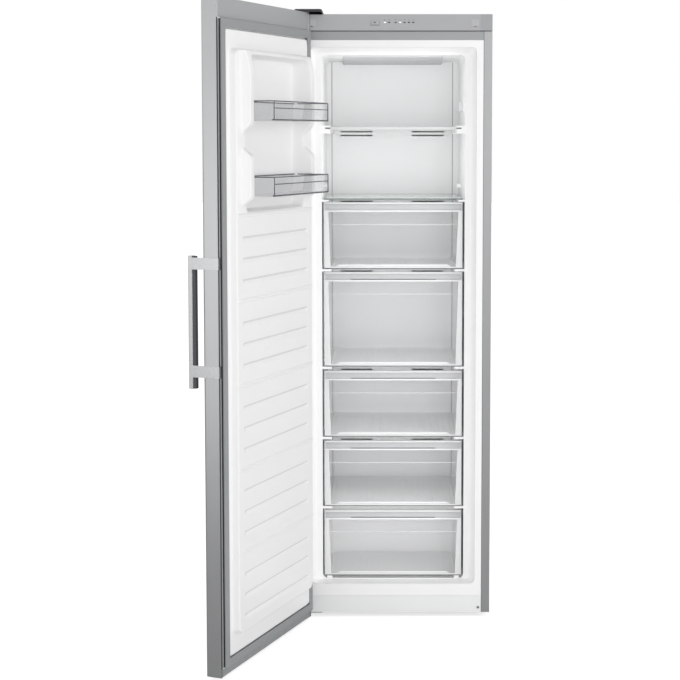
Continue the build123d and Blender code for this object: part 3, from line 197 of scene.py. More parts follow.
# %% Node helpers
def new_group(name, inputs, outputs):
    """Empty shader group with float inputs (name, start value) and float outputs."""
    group = bpy.data.node_groups.new(name, "ShaderNodeTree")
    for label, value in inputs:
        socket = group.interface.new_socket(name=label, in_out="INPUT", socket_type="NodeSocketFloat")
        socket.default_value = value
    for label in outputs:
        group.interface.new_socket(name=label, in_out="OUTPUT", socket_type="NodeSocketFloat")
    return group, group.nodes.new("NodeGroupInput"), group.nodes.new("NodeGroupOutput")


def placed(tree, group, **values):
    """A shared group placed in a finish, with that finish's own values."""
    node = tree.nodes.new("ShaderNodeGroup")
    node.node_tree = group
    for label, value in values.items():
        node.inputs[label].default_value = value
    return node


def worked_out(tree, operation, *values):
    """Output of a Math node. Each value is a number or the output that feeds the node."""
    node = tree.nodes.new("ShaderNodeMath")
    node.operation = operation
    for socket, value in zip(node.inputs, values):
        if isinstance(value, bpy.types.NodeSocket):
            tree.links.new(value, socket)
        else:
            socket.default_value = value
    return node.outputs["Value"]


def object_noise(tree, detail, scale):
    """Noise over Object coordinates, whose scale comes from the output given."""
    place = tree.nodes.new("ShaderNodeTexCoord")
    noise = tree.nodes.new("ShaderNodeTexNoise")
    noise.inputs["Detail"].default_value = detail
    tree.links.new(place.outputs["Object"], noise.inputs["Vector"])
    tree.links.new(scale, noise.inputs["Scale"])
    return noise.outputs["Fac"]


def ranged(tree, value, low, high):
    """A value from 0 to 1 turned into one from low to high."""
    node = tree.nodes.new("ShaderNodeMapRange")
    node.inputs["To Min"].default_value = low
    node.inputs["To Max"].default_value = high
    tree.links.new(value, node.inputs["Value"])
    return node.outputs["Result"]

# %% Fine grain
grain_group, grain_in, grain_out = new_group("fine_grain", [("Scale", 900.0)], ["Height"])
grain_noise = object_noise(grain_group, 2.0, grain_in.outputs["Scale"])
grain_group.links.new(grain_noise, grain_out.inputs["Height"])

# %% Brushed lines
brush_group, brush_in, brush_out = new_group(
    "brushed_lines", [("Across", 2600.0), ("Along", 14.0)], ["Height", "Tone"]
)
brush_place = brush_group.nodes.new("ShaderNodeTexCoord")
brush_scale = brush_group.nodes.new("ShaderNodeCombineXYZ")
brush_stretch = brush_group.nodes.new("ShaderNodeVectorMath")
brush_stretch.operation = "MULTIPLY"
brush_noise = brush_group.nodes.new("ShaderNodeTexNoise")
brush_noise.inputs["Scale"].default_value = 1.0
brush_noise.inputs["Detail"].default_value = 3.0
for axis, run in (("X", "Across"), ("Y", "Across"), ("Z", "Along")):
    brush_group.links.new(brush_in.outputs[run], brush_scale.inputs[axis])
brush_group.links.new(brush_place.outputs["Object"], brush_stretch.inputs[0])
brush_group.links.new(brush_scale.outputs["Vector"], brush_stretch.inputs[1])
brush_group.links.new(brush_stretch.outputs["Vector"], brush_noise.inputs["Vector"])
for label in ("Height", "Tone"):
    brush_group.links.new(brush_noise.outputs["Fac"], brush_out.inputs[label])

# %% Handled marks
marks_group, marks_in, marks_out = new_group("handled_marks", [("Scale", 5.0), ("Amount", 0.1)], ["Value"])
marks_noise = object_noise(marks_group, 4.0, marks_in.outputs["Scale"])
marks_centred = worked_out(marks_group, "SUBTRACT", marks_noise, 0.5)
marks_sized = worked_out(marks_group, "MULTIPLY", marks_centred, marks_in.outputs["Amount"])
marks_group.links.new(marks_sized, marks_out.inputs["Value"])
print("groups:", [group.name for group in bpy.data.node_groups])

# %% [markdown]
# ## Opaque finishes
# Each finish is a Principled shader with its own colour, gloss and metal, and takes the shared effects in
# its own strength. Screen greys become linear light first, because the shader's sockets expect that.
# Roughness wanders a little with the handling marks, and the grain reaches the Normal by a Bump.

# %% Finish helpers
streak_swing = 0.16
relief = 0.0002


def linear(red, green, blue):
    """Screen values from 0 to 255 as linear light: ((v / 255 + 0.055) / 1.055) ** 2.4."""
    screen = np.array([red, green, blue]) / 255.0
    light = np.where(screen > 0.04045, ((screen + 0.055) / 1.055) ** 2.4, screen / 12.92)
    return tuple(float(v) for v in light) + (1.0,)


def new_finish(name, shown):
    """Empty finish with its node tree and its Principled shader."""
    finish = bpy.data.materials.new(name)
    finish.use_nodes = True
    finish.diffuse_color = shown
    return finish, finish.node_tree, finish.node_tree.nodes["Principled BSDF"]


def drift(tree, shader, colour, roughness, change):
    """Brightness times (1 + change) and roughness plus change, both from one changing value."""
    toned = tree.nodes.new("ShaderNodeHueSaturation")
    toned.inputs["Color"].default_value = colour
    tree.links.new(worked_out(tree, "ADD", change, 1.0), toned.inputs["Value"])
    tree.links.new(toned.outputs["Color"], shader.inputs["Base Color"])
    rough = worked_out(tree, "ADD", change, roughness)
    rough.node.use_clamp = True
    tree.links.new(rough, shader.inputs["Roughness"])


def bend_normal(tree, shader, height, strength):
    """Bends the normal as a relief of 0.2 mm would, times the strength."""
    bump = tree.nodes.new("ShaderNodeBump")
    bump.inputs["Distance"].default_value = relief
    bump.inputs["Strength"].default_value = strength
    tree.links.new(height, bump.inputs["Height"])
    tree.links.new(bump.outputs["Normal"], shader.inputs["Normal"])


def opaque(name, shade, roughness, metallic=0.0, grain=900.0, depth=0.05, uneven=0.04, brushed=None):
    """Opaque finish: colour and roughness drift with the marks, and grain or brushing bends the normal."""
    colour = linear(*shade)
    finish, tree, shader = new_finish(name, colour)
    shader.inputs["Metallic"].default_value = metallic
    tone = placed(tree, marks_group, Amount=uneven).outputs["Value"]
    if brushed:
        surface = placed(tree, brush_group, Across=brushed[0], Along=brushed[1])
        streak = worked_out(tree, "MULTIPLY_ADD", surface.outputs["Tone"], streak_swing, -streak_swing / 2)
        tone = worked_out(tree, "ADD", streak, tone)
    else:
        surface = placed(tree, grain_group, Scale=grain)
    bend_normal(tree, shader, surface.outputs["Height"], depth)
    drift(tree, shader, colour, roughness, tone)
    return finish

# %% Painted, moulded and metal finishes
silver_paint = opaque("silver_paint", (188, 189, 190), 0.38, 0.7, brushed=(1900.0, 9.0), depth=0.03)
door_steel = opaque("door_steel", (190, 191, 192), 0.34, 0.8, brushed=(2600.0, 12.0))
fascia_silver = opaque("fascia_silver", (175, 176, 178), 0.34, 0.4, grain=1400.0)
# grey of the end caps; on the head strip under the fascia it also paints the shade of the fascia's overhang
cap_grey_and_strip_shade = opaque("cap_grey_and_strip_shade", (166, 168, 170), 0.42, 0.2, grain=1100.0, depth=0.08)
plinth_white = opaque("plinth_white", (238, 239, 239), 0.4, grain=760.0, depth=0.06, uneven=0.03)
liner_white = opaque("liner_white", (249, 249, 249), 0.36, grain=520.0, uneven=0.02)
door_white = opaque("door_white", (244, 244, 244), 0.34, grain=520.0, uneven=0.02)
# painted shade: a greyer white for the band under each flute's edge on the inner door
door_fold_painted_shade = opaque("door_fold_painted_shade", (221, 221, 222), 0.4, grain=520.0, uneven=0.02)
gasket_grey = opaque("gasket_grey", (150, 152, 154), 0.62, grain=1600.0, depth=0.12)
# grey of the temperature sensor; on the air intake it is painted shade for the recess under the ceiling
sensor_grey_and_intake_shade = opaque("sensor_grey_and_intake_shade", (204, 205, 207), 0.48, depth=0.1)
cover_white = opaque("cover_white", (246, 247, 247), 0.42, grain=640.0, depth=0.06, uneven=0.03)
handle_silver = opaque("handle_silver", (188, 189, 190), 0.26, 0.85, brushed=(3200.0, 20.0))
grip_dark = opaque("grip_dark", (72, 74, 77), 0.45, 0.1, grain=1500.0, depth=0.12)
dark_plastic = opaque("dark_plastic", (48, 49, 51), 0.5, grain=1100.0, depth=0.15)
# painted shade: dark finish for the gasket's deep fold and for the grooves at the door's edges
groove_painted_shade = opaque("groove_painted_shade", (62, 64, 67), 0.6, grain=1500.0, depth=0.1)
drawer_side = opaque("drawer_side", (214, 215, 216), 0.4)
lens_dark = opaque("lens_dark", (66, 70, 74), 0.25, depth=0.02)
# painted shade: grey for the shaded gaps beside the rear cover
seam_painted_shade = opaque("seam_painted_shade", (174, 176, 177), 0.5)
# printed marks on the fascia, and painted shade for the flange edges and the gap round the button
print_and_shade_grey = opaque("print_and_shade_grey", (96, 98, 100), 0.5, depth=0.02)
shelf_trim_white = opaque("shelf_trim_white", (206, 207, 207), 0.4, grain=640.0)
print("finishes so far:", len(bpy.data.materials))

# %% [markdown]
# ## Finishes of the hidden parts
# The machine room, the foam and the air system are behind covers, but the part is also taken apart, so
# they have finishes too: zinc-plated steel, galvanised sheet with its broad spangle, bare copper, rigid
# foam, black enamel and rubber.

# %% Finishes behind the covers
zinc_steel = opaque("zinc_steel", (176, 178, 178), 0.38, 0.9, grain=300.0, depth=0.1, uneven=0.16)
black_steel = opaque("black_steel", (30, 31, 32), 0.42, 0.1, grain=700.0, depth=0.18)
galvanised = opaque("galvanised", (158, 161, 163), 0.46, 0.7, grain=90.0, uneven=0.2)
foam_cream = opaque("foam_cream", (226, 214, 178), 0.9, grain=700.0, depth=0.5, uneven=0.08)
coil_aluminium = opaque("coil_aluminium", (190, 192, 194), 0.35, 0.9, grain=500.0, depth=0.1)
copper = opaque("copper", (196, 122, 88), 0.34, 0.95, grain=600.0, depth=0.08, uneven=0.12)
board_green = opaque("board_green", (38, 92, 60), 0.45, grain=1200.0, depth=0.1)
rubber_black = opaque("rubber_black", (26, 26, 27), 0.75, grain=1300.0, depth=0.2)
print("opaque finishes:", len(bpy.data.materials))

# %% [markdown]
# ## Lit lenses
# A lit lens is pale plastic with a lamp behind it. A weak emission makes it read as lit without casting
# light on the fascia.

# %% Lit lens finish
lens_lit = opaque("lens_lit", (240, 243, 245), 0.25, depth=0.02)
lens_shader = lens_lit.node_tree.nodes["Principled BSDF"]
lens_shader.inputs["Emission Color"].default_value = linear(245, 248, 255)
lens_shader.inputs["Emission Strength"].default_value = 0.5

# %% [markdown]
# ## Clear plastic and glass
# Thin clear plastic and glass hardly bend light, so Alpha stands in for refraction: seen square on, little
# of the sheet shows, and seen along it the sheet turns milky. Layer Weight gives that change, and stays in
# the material because the exporter reads it only there.

# %% Clear finishes
edge_blend, wipe_scale, wipe_amount, clear_grain, clear_depth = 0.35, 9.0, 0.05, 400.0, 0.02


def clear(name, shade, facing, edge, roughness=0.1):
    """Clear finish: Alpha goes from facing, seen square on, to edge, seen along the sheet."""
    colour = linear(*shade)
    finish, tree, shader = new_finish(name, colour[:3] + (facing,))
    weight = tree.nodes.new("ShaderNodeLayerWeight")
    weight.inputs["Blend"].default_value = edge_blend
    tree.links.new(ranged(tree, weight.outputs["Facing"], facing, edge), shader.inputs["Alpha"])
    marks = placed(tree, marks_group, Scale=wipe_scale, Amount=wipe_amount)
    drift(tree, shader, colour, roughness, marks.outputs["Value"])
    surface = placed(tree, grain_group, Scale=clear_grain)
    bend_normal(tree, shader, surface.outputs["Height"], clear_depth)
    return finish


drawer_clear = clear("drawer_clear", (214, 216, 218), 0.07, 0.5)
drawer_edge = clear("drawer_edge", (242, 243, 243), 0.78, 0.95, roughness=0.2)
drawer_band = clear("drawer_band", (194, 195, 196), 0.93, 0.97, roughness=0.28)
# painted shade: dark finish for the lip under each drawer front's foot and the strip under its grip
drawer_gap_shade = clear("drawer_gap_shade", (112, 114, 116), 0.8, 0.9, roughness=0.3)
drawer_floor = clear("drawer_floor", (240, 241, 241), 0.62, 0.92, roughness=0.22)
shelf_glass = clear("shelf_glass", (226, 230, 229), 0.16, 0.9, roughness=0.04)
glass_edge = clear("glass_edge", (126, 136, 134), 0.85, 0.95)
bin_smoke = clear("bin_smoke", (186, 188, 191), 0.13, 0.4, roughness=0.08)
bin_edge = clear("bin_edge", (84, 88, 92), 0.86, 0.97, roughness=0.14)
print("finishes in all:", len(bpy.data.materials))

# %% [markdown]
# ## Finishes for the CAD pieces
# Sheet metal, brackets and flat mouldings have the right shape already, so they keep their CAD mesh and
# only take a finish. Pieces that new surfaces stand for later take one too. No mesh is touched.

# %% Finish every CAD node
node_finishes = {
    silver_paint: ["outer_cabinet", "fascia_screw_caps"],
    door_steel: ["door_skin"],
    fascia_silver: ["control_fascia", "control_button"],
    cap_grey_and_strip_shade: ["fascia_end_caps", "door_top_cap", "door_bottom_cap"],
    liner_white: ["inner_liner"],
    door_white: ["door_liner"],
    gasket_grey: ["door_gasket"],
    sensor_grey_and_intake_shade: ["air_intake_hood", "temperature_sensor"],
    cover_white: ["evaporator_cover"],
    shelf_trim_white: ["shelf_trim_upper"],
    plinth_white: ["plinth_panel"],
    handle_silver: ["handle_bar", "handle_brackets"],
    grip_dark: ["handle_grip"],
    dark_plastic: ["top_hinge_cover", "mains_inlet", "evaporator_fan", "drip_tray"],
    zinc_steel: ["top_hinge_bracket", "lower_hinge_bracket", "case_screws", "levelling_foot_left",
                 "levelling_foot_right", "fan_motor"],
    galvanised: ["back_panel", "base_pan", "machine_partition", "rear_cover"],
    foam_cream: ["cabinet_insulation", "door_insulation"],
    coil_aluminium: ["evaporator_coil", "defrost_heater", "drain_trough"],
    copper: ["refrigerant_pipe"],
    board_green: ["control_board"],
    rubber_black: ["compressor_mounts", "rear_roller_left", "rear_roller_right", "hinge_bushes"],
    black_steel: ["compressor"],
    lens_lit: ["indicator_lenses"],
    shelf_glass: ["glass_shelf_upper", "glass_shelf_lower"],
    bin_smoke: ["door_bin_upper", "door_bin_lower"],
    drawer_clear: [f"drawer_{n}_{part}" for n in range(1, 6) for part in ("front", "tub")],
}
for finish, names in node_finishes.items():
    for name in names:
        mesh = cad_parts[name].data
        mesh.materials.clear()
        mesh.materials.append(finish)
unfinished = set(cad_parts) - {name for names in node_finishes.values() for name in names}
print("finished nodes:", sum(len(names) for names in node_finishes.values()), "left:", sorted(unfinished))

# %% [markdown]
# ## The moulded inner door
# The inner door is one vacuum-formed sheet, so it can be written as a height: how far the sheet stands
# inward at each place across and up the door. Rounded rectangles give the raised field and the recess,
# and a distance to their outline, passed through a smooth step, gives each wall its draft and its round
# edge. The two towers that hold the bins, the cross bars and the shallow flutes between them are added
# as more heights.

# %% Sizes of the inner door
# Each outline is a half width, a low and a high level and a corner radius. A wall is the width over which
# the height changes.
apron_outline = (262.5, 63.5, 1770.5, 9.0)
field_outline = (245.0, 120.5, 1718.0, 20.0)
recess_outline = (186.0, 1282.0, 1702.0, 16.0)
apron_height, field_height, recess_depth = 11.1, 20.5, 35.0
apron_wall, field_wall, recess_wall = 4.0, 6.5, 8.0
tower_outside, tower_wall, tower_rise = 213.0, 6.0, 26.0
bar_pitch, bar_height, bar_half, bar_below, bar_reach = 231.7, 3.6, 4.6, 5.0, 243.0
bar_levels = 1276.0 - bar_pitch * np.arange(5)
flute_depth, flute_reach, flute_fade, flute_lip, flute_half = 4.6, 9.5, 12.0, 1.4, 208.0
flute_levels = [level - bar_below - bar_pitch / 4 * place for level in bar_levels for place in (1, 2, 3)]
print("bars at", bar_levels, "with", len(flute_levels), "flutes between them")

# %% Height of the inner door
def smooth_step(distance, width):
    """1 inside an outline and 0 outside it, with a smooth change over the width: t * t * (3 - 2 t)."""
    t = np.clip(0.5 - distance / width, 0.0, 1.0)
    return t * t * (3.0 - 2.0 * t)


def outline_distance(x, z, half, low, high, corner):
    """Distance to a rounded rectangle's outline, less than zero inside it."""
    across = np.abs(x) - (half - corner)
    up = np.abs(z - (low + high) / 2) - ((high - low) / 2 - corner)
    outside = np.hypot(np.maximum(across, 0.0), np.maximum(up, 0.0))
    return outside + np.minimum(np.maximum(across, up), 0.0) - corner


def tower_height(z):
    """Height of a tower at each level: straight slopes, averaged over 14 mm so that their ends are round."""
    upper = [1494.0, 1495.0, 1517.0, 1655.0, 1672.0, 1689.0, 1706.0, 1721.0]
    lower = [1298.0, 1299.0, 1316.0, 1432.0, 1450.0, 1451.0]
    upper_rise = [0.0, 0.0, tower_rise, tower_rise, 24.6, 21.0, 15.6, 9.0]
    lower_rise = [0.0, 0.0, tower_rise, tower_rise, 0.5, 0.0]
    shifted = z[None] + np.linspace(-7.0, 7.0, 9)[:, None]
    return (np.interp(shifted, upper, upper_rise) + np.interp(shifted, lower, lower_rise)).mean(axis=0)


def inner_door_height(x, z):
    """Height over the gasket plane in mm: apron, field, recess, towers, bars and flutes added up."""
    in_field = smooth_step(outline_distance(x, z, *field_outline), field_wall)
    in_recess = smooth_step(outline_distance(x, z, *recess_outline), recess_wall)
    height = apron_height * smooth_step(outline_distance(x, z, *apron_outline), apron_wall)
    height = height + field_height * in_field
    towers = tower_height(z[:, 0])[:, None] * smooth_step(np.abs(x) - tower_outside, tower_wall) * in_field
    height = height + towers - (recess_depth + towers) * in_recess
    for level in bar_levels:
        away = np.abs(z - level + bar_below)
        double = 1.0 - 0.35 * smooth_step(away - 1.0, 2.0)
        bar = smooth_step(away - bar_half, 2.0) * smooth_step(np.abs(x) - bar_reach, 5.0)
        height = height + bar_height * double * bar
    for level in flute_levels:
        down = level - z
        slope = smooth_step(down - flute_reach, flute_fade) * smooth_step(-down, flute_lip)
        height = height - flute_depth * slope * smooth_step(np.abs(x) - flute_half, 10.0)
    return height

# %% [markdown]
# ## Grid lines for the inner door
# An even grid fine enough for the flutes would be very heavy. Here the lines lie 24 and 14 mm apart, and
# nine gather round every wall, bar and flute. A narrow band under each flute's edge takes a slightly
# greyer white, painted shade in the fold, since a shallow height alone shades the fold too little.

# %% Inner door surface
def spread_lines(low, high, spacing, places):
    """Grid lines from low to high: coarse ones at the spacing and fine ones at each (place, reach)."""
    lines = [np.arange(low, high, spacing), [high]]
    for place, reach in places:
        lines.append(place + reach * np.linspace(-1.0, 1.0, 9))
    lines = np.unique(np.round(np.clip(np.concatenate(lines), low, high), 2))
    return lines[np.concatenate([[True], np.diff(lines) > 0.45])]


liner_plane = -306.6
sheet_half, sheet_low, sheet_high = 296.0, 33.5, 1799.5
wide_spacing, tall_spacing = 24.0, 14.0
walls_across = ((262.5, 4.0), (245.0, 6.0), (232.0, 6.0), (213.0, 4.0), (186.0, 6.0), (172.0, 7.0))
x_places = [(side * place, reach) for side in (-1, 1) for place, reach in walls_across]
z_places = [(63.5, 4.0), (75.0, 5.0), (120.5, 5.0), (136.0, 7.0), (1282.0, 6.0), (1297.0, 7.0),
            (1687.0, 8.0), (1702.0, 6.0), (1718.0, 6.0), (1770.5, 4.0)]
z_places += [(level, 9.0) for level in (1299.0, 1316.0, 1432.0, 1450.0, 1495.0, 1517.0, 1655.0, 1700.0)]
z_places += [(level - bar_below, 7.0) for level in bar_levels]
z_places += [(level, 3.0) for level in flute_levels] + [(level - 10.0, 6.0) for level in flute_levels]
x_lines = spread_lines(-sheet_half, sheet_half, wide_spacing, x_places)
z_lines = spread_lines(sheet_low, sheet_high, tall_spacing, z_places)
z_grid, x_grid = np.meshgrid(z_lines, x_lines, indexing="ij")
inner_door = np.stack([x_grid, liner_plane + inner_door_height(x_grid, z_grid), z_grid], axis=-1)

# painted shade: the faces in a band under each flute's edge take the greyer finish
fold_shade_depth, fold_shade_half = 5.2, 206.0
middle_x, middle_z = (x_lines[1:] + x_lines[:-1]) / 2, (z_lines[1:] + z_lines[:-1]) / 2
below = np.array(flute_levels)[None] - middle_z[:, None]
in_painted_fold_shade = ((below > 0.0) & (below < fold_shade_depth)).any(axis=1)[:, None] & (np.abs(middle_x) < fold_shade_half)[None]
add_piece("inner_door_moulding", on_door(grid_part(inner_door)), [door_white, door_fold_painted_shade], "door",
          ["door_liner", "door_insulation"], in_painted_fold_shade.astype(int).ravel(), sharp=180.0)
print("inner door grid", inner_door.shape, "highest", round(float(inner_door[..., 1].max()), 1))

# %% [markdown]
# ## The door gasket
# The magnetic gasket is one soft extrusion, mitred at the door's corners. Its section has a flat magnet
# lip, bellows folds and a root that presses into the door. Drawing the section once and carrying it round
# a rectangle gives all four sides and their mitres. The deep fold takes a dark finish: painted shade in the
# crease.

# %% Gasket
cabinet_face = -295.0
gasket_half, gasket_low, gasket_high = 286.5, 37.0, 1797.0
section_in = np.array([0.0, 22.0, 22.6, 22.0, 18.0, 21.2, 20.6, 17.4, 20.4, 19.4,
                       1.6, 1.2, 5.2, 5.6, 1.6, 0.2, 0.0, -0.5])
section_out = np.array([-0.4, -0.4, -1.4, -2.8, -4.2, -5.4, -6.8, -7.8, -9.0, -11.2,
                        -11.2, -9.4, -8.8, -6.2, -5.6, -4.4, -2.8, -1.4])
fold_first, fold_last = 11, 13


def carried_round(section_in, section_y, half, low, high):
    """A closed section carried round a rectangle: each section point makes its own smaller rectangle."""
    side = np.array([-1.0, 1.0, 1.0, -1.0])
    level = np.array([-1.0, -1.0, 1.0, 1.0])
    x = side[None] * (half - section_in[:, None])
    z = (low + high) / 2 + level[None] * ((high - low) / 2 - section_in[:, None])
    y = np.repeat(section_y[:, None], 4, axis=1)
    return np.stack([x, y, z], axis=-1)


gasket = carried_round(section_in, cabinet_face + section_out, gasket_half, gasket_low, gasket_high)
gasket_row = np.arange(len(section_in)).repeat(4)
# painted shade: the rows of the deep fold take the dark finish
gasket_fold_shade = ((gasket_row >= fold_first) & (gasket_row <= fold_last)).astype(int)
add_piece("gasket_bellows", on_door(grid_part(gasket, True, True)), [gasket_grey, groove_painted_shade], "door",
          ["door_gasket"], gasket_fold_shade, sharp=40.0)

# %% [markdown]
# ## The groove beside the gasket
# Between the gasket's root and the door's steel edge lies a narrow groove that hardly any light reaches.
# A thin dark strip along it at each side of the door is painted shade for that groove.

# %% Grooves at the door's edges
groove_inside, groove_outside = 291.6, 296.3
# painted shade: thin dark strips along the grooves at both edges of the door
groove_shades = mirrored(groove_inside, groove_outside, (-306.5, -305.6), (36.0, 1798.0), 0.3)
add_piece("door_edge_groove_shade", on_door(joined(groove_shades)), groove_painted_shade, "door")

# %% [markdown]
# ## The clear drawers
# Each drawer is two mouldings: a front with a grip channel along its top, and a tub that narrows towards
# its floor. The front's section is the same from side to side, so it is a profile carried across. Beside
# the window one looks along the tub's walls, so the plastic reads as white there: those stiles follow the
# walls' slant. Walls are thin sheets, so that a look through a drawer crosses few surfaces.

# %% Drawer fronts
drawer_face, grip_height, line_drop = -245.0, 24.0, 68.0
front_finishes = [drawer_clear, drawer_edge, drawer_band, drawer_side, drawer_gap_shade]
window, edge, band, side_return, shade_strip = range(5)


def carried_across(y, z, foot, head):
    """A profile (y, z) repeated at each column, whose x goes evenly from foot to head as z rises."""
    rise = ((z - z.min()) / (z.max() - z.min()))[:, None]
    x = foot[None] + (head - foot)[None] * rise
    rows = np.ones((1, len(foot)))
    return np.stack([x, y[:, None] * rows, z[:, None] * rows], axis=-1)


def drawer_front_part(low, high, half):
    """Window, stiles and grip channel between two levels, and the finish number of each face."""
    grip = high - grip_height
    bend = np.linspace(0.0, np.pi, 11)
    y = np.concatenate([[2.4, 0.7, 0.0, 0.0, 0.0, 0.0, 0.9], 1.0 + 6.0 * np.sin(bend) ** 0.7,
                        [0.9, 0.2, 0.0, 0.8, 2.6]])
    z = np.concatenate([[low, low + 0.5, low + 2.2, low + 4.5, grip - 4.6, grip - 1.2, grip - 0.2],
                        grip + 0.3 + 19.2 * (1.0 - np.cos(bend)) / 2,
                        [high - 4.2, high - 3.4, high - 1.6, high - 0.5, high]])
    foot, head = (np.array([-half, 2.5 - half, stile - half, half - stile, half - 2.5, half])
                  for stile in (19.5, 11.0))
    part = grid_part(carried_across(drawer_face + y, z, foot, head), flip=True)
    row, column = np.divmod(np.arange(len(part[1])), len(foot) - 1)
    kind = np.where((row >= 6) & (row <= 17), band, edge)
    return part, np.where((row == 3) & (column == 2), window, kind)

# %% [markdown]
# ## Edges and lines on the drawer fronts
# What the eye catches on a clear front is its edges: the sides that return along the tub, the top and foot
# edges, a dark lip under the foot that is painted shade for the gap below the front, a fine line across the
# window, a dark strip under the grip that is painted shadow of the grip's lip, and a raised strip at the
# window's foot.

# %% Drawer trims
def drawer_trims(low, high, half, grip_shadowed):
    """Edges, a lip of painted shade under the foot, the window line and, if asked, painted shadow under the
    grip, with finishes.
    """
    y, side_y = (drawer_face + 1.0, drawer_face + 20.0), (drawer_face + 1.0, drawer_face + 122.0)
    grip, line = high - grip_height, high - line_drop
    side_z, across = (low + 0.5, high - 0.5), (2.0 - half, half - 2.0)
    trims = [(box, side_return) for box in mirrored(half - 2.4, half, side_y, side_z, 0.9)]
    trims += [
        (soft_box(across, y, (high - 2.4, high), 0.9), edge),
        (soft_box(across, y, (low, low + 2.4), 0.9), edge),
        # painted shade in the gap under the front's foot
        (soft_box((3.0 - half, half - 3.0), (drawer_face + 5.0, drawer_face + 9.0),
                  (low - 3.0, low + 0.6), 0.8), shade_strip),
        (soft_box((14.0 - half, half - 14.0), (drawer_face + 0.4, drawer_face + 2.4),
                  (line - 1.0, line + 1.0), 0.6), edge),
    ]
    # painted shadow under the grip's lip
    if grip_shadowed:
        trims.append((soft_box((-131.0, 131.0), (drawer_face + 1.2, drawer_face + 5.0),
                               (grip - 0.3, grip + 2.2), 0.6), shade_strip))
    return trims


def foot_strip_part(low, half):
    """Raised strip along the window's foot with slanted ends, its section a low arch carried across."""
    bend = np.linspace(0.0, np.pi, 7)
    z = low + 5.5 + 6.0 * (1.0 - np.cos(bend)) / 2
    foot, head = np.array([35.0 - half, half - 35.0]), np.array([46.0 - half, half - 46.0])
    return grid_part(carried_across(drawer_face - 0.1 - 0.8 * np.sin(bend), z, foot, head), flip=True)


# The fifth front starts higher over its CAD foot than the others, and the first has no painted shadow under
# its grip.
for number in range(1, 6):
    foot_gap = 10.0 if number == 5 else 3.0
    low_corner, high_corner = box_mm(f"drawer_{number}_front")
    low, high, half = low_corner[2] + foot_gap, high_corner[2], high_corner[0] - 1.0
    front_part, kind = drawer_front_part(low, high, half)
    trims = drawer_trims(low, high, half, grip_shadowed=number > 1) + [(foot_strip_part(low, half), edge)]
    whole = joined([front_part] + [part for part, kind_ in trims])
    kinds = np.concatenate([kind] + [np.full(len(part[1]), kind_) for part, kind_ in trims])
    add_piece(f"drawer_{number}_grip_front", whole, front_finishes, f"drawer_{number}",
              [f"drawer_{number}_front"], kinds)

# %% [markdown]
# ## Tubs
# Seen from above a tub is a U with round corners. Each level up the wall uses a wider U, which gives the
# draft. The rim carries a small section along the same path. The floor is a sheet with low ribs.

# %% Drawer tubs
def tub_path(half, front, back, radius):
    """Plan of a tub as an open U, from the left front end round the back to the right front end."""
    turn = np.linspace(0.0, np.pi / 2, 7)
    sides = np.linspace(front, back - radius, 6)[:-1]
    across = np.linspace(radius - half, half - radius, 8)[1:-1]
    left = np.stack([np.full(5, -half), sides], axis=-1)
    corner = np.stack([radius - half - radius * np.cos(turn), back - radius + radius * np.sin(turn)], axis=-1)
    wall = np.stack([across, np.full(6, back)], axis=-1)
    right_corner, right = corner[::-1] * [-1.0, 1.0], left[::-1] * [-1.0, 1.0]
    return np.concatenate([left, corner, wall, right_corner, right])


def at_level(path, level):
    """A plan path, (x, y) at each point, lifted to a level."""
    return np.column_stack([path, np.full(len(path), level)])


def tub_wall(levels, halves, front, backs, radius):
    """Walls of a tub: one path a level, stacked into a table."""
    return np.stack([at_level(tub_path(half, front, back, radius), level)
                     for level, half, back in zip(levels, halves, backs)])


def tub_rim(half, front, back, radius, level):
    """Rim: the corners of a small square section, each carried along its own path."""
    section = ((0.0, -3.2), (2.2, -3.2), (2.6, -0.6), (2.0, 0.0), (-1.2, 0.0), (-1.6, -0.6), (-1.4, -2.6))
    return np.stack([at_level(tub_path(half + out, front, back + out, radius + out), level + up)
                     for out, up in section])


def ribbed_floor(half, front, back, level):
    """Floor with low ribs: height = 0.5 cos(pi x / 20) ** 8, rising to the walls over the last 8 mm."""
    across = np.linspace(4.0 - half, half - 4.0, 161)
    deep = np.concatenate([[front], np.linspace(front + 6.0, back - 10.0, 12), [back - 3.0]])
    y, x = np.meshgrid(deep, across, indexing="ij")
    ribs = 0.5 * np.cos(np.pi * x / 20.0) ** 8
    ribs = ribs * np.clip((y - front - 5.0) / 4.0, 0.0, 1.0) * np.clip((back - 9.0 - y) / 4.0, 0.0, 1.0)
    rise = np.clip(1.0 - np.minimum(half - np.abs(x), back - y) / 8.0, 0.0, 1.0)
    return np.stack([x, y, level + 1.2 + ribs + 6.0 * rise ** 2], axis=-1)


wall_insets = np.array([14.0, 9.4, 7.9, 2.6])
back_insets = np.array([9.0, 5.6, 4.4, 2.6])
tub_corner = 14.0
for number in range(1, 6):
    low_corner, high_corner = box_mm(f"drawer_{number}_tub")
    (front, floor_level), (half, back, rim_level) = low_corner[1:], high_corner
    levels = np.array([floor_level + 0.6, floor_level + 2.4, floor_level + 6.0, rim_level - 3.0])
    wall = grid_part(tub_wall(levels, half - wall_insets, front, back - back_insets, tub_corner))
    rim = grid_part(tub_rim(half - 2.6, front, back - 2.6, tub_corner, rim_level), wrap_rows=True)
    base = grid_part(ribbed_floor(half - 9.0, front, back - 4.0, floor_level), flip=True)
    kinds = np.concatenate([np.full(len(part[1]), kind) for kind, part in enumerate((wall, rim, base))])
    add_piece(f"drawer_{number}_clear_tub", joined([wall, rim, base]),
              [drawer_clear, drawer_edge, drawer_floor], f"drawer_{number}", [f"drawer_{number}_tub"],
              kinds, sharp=50.0)

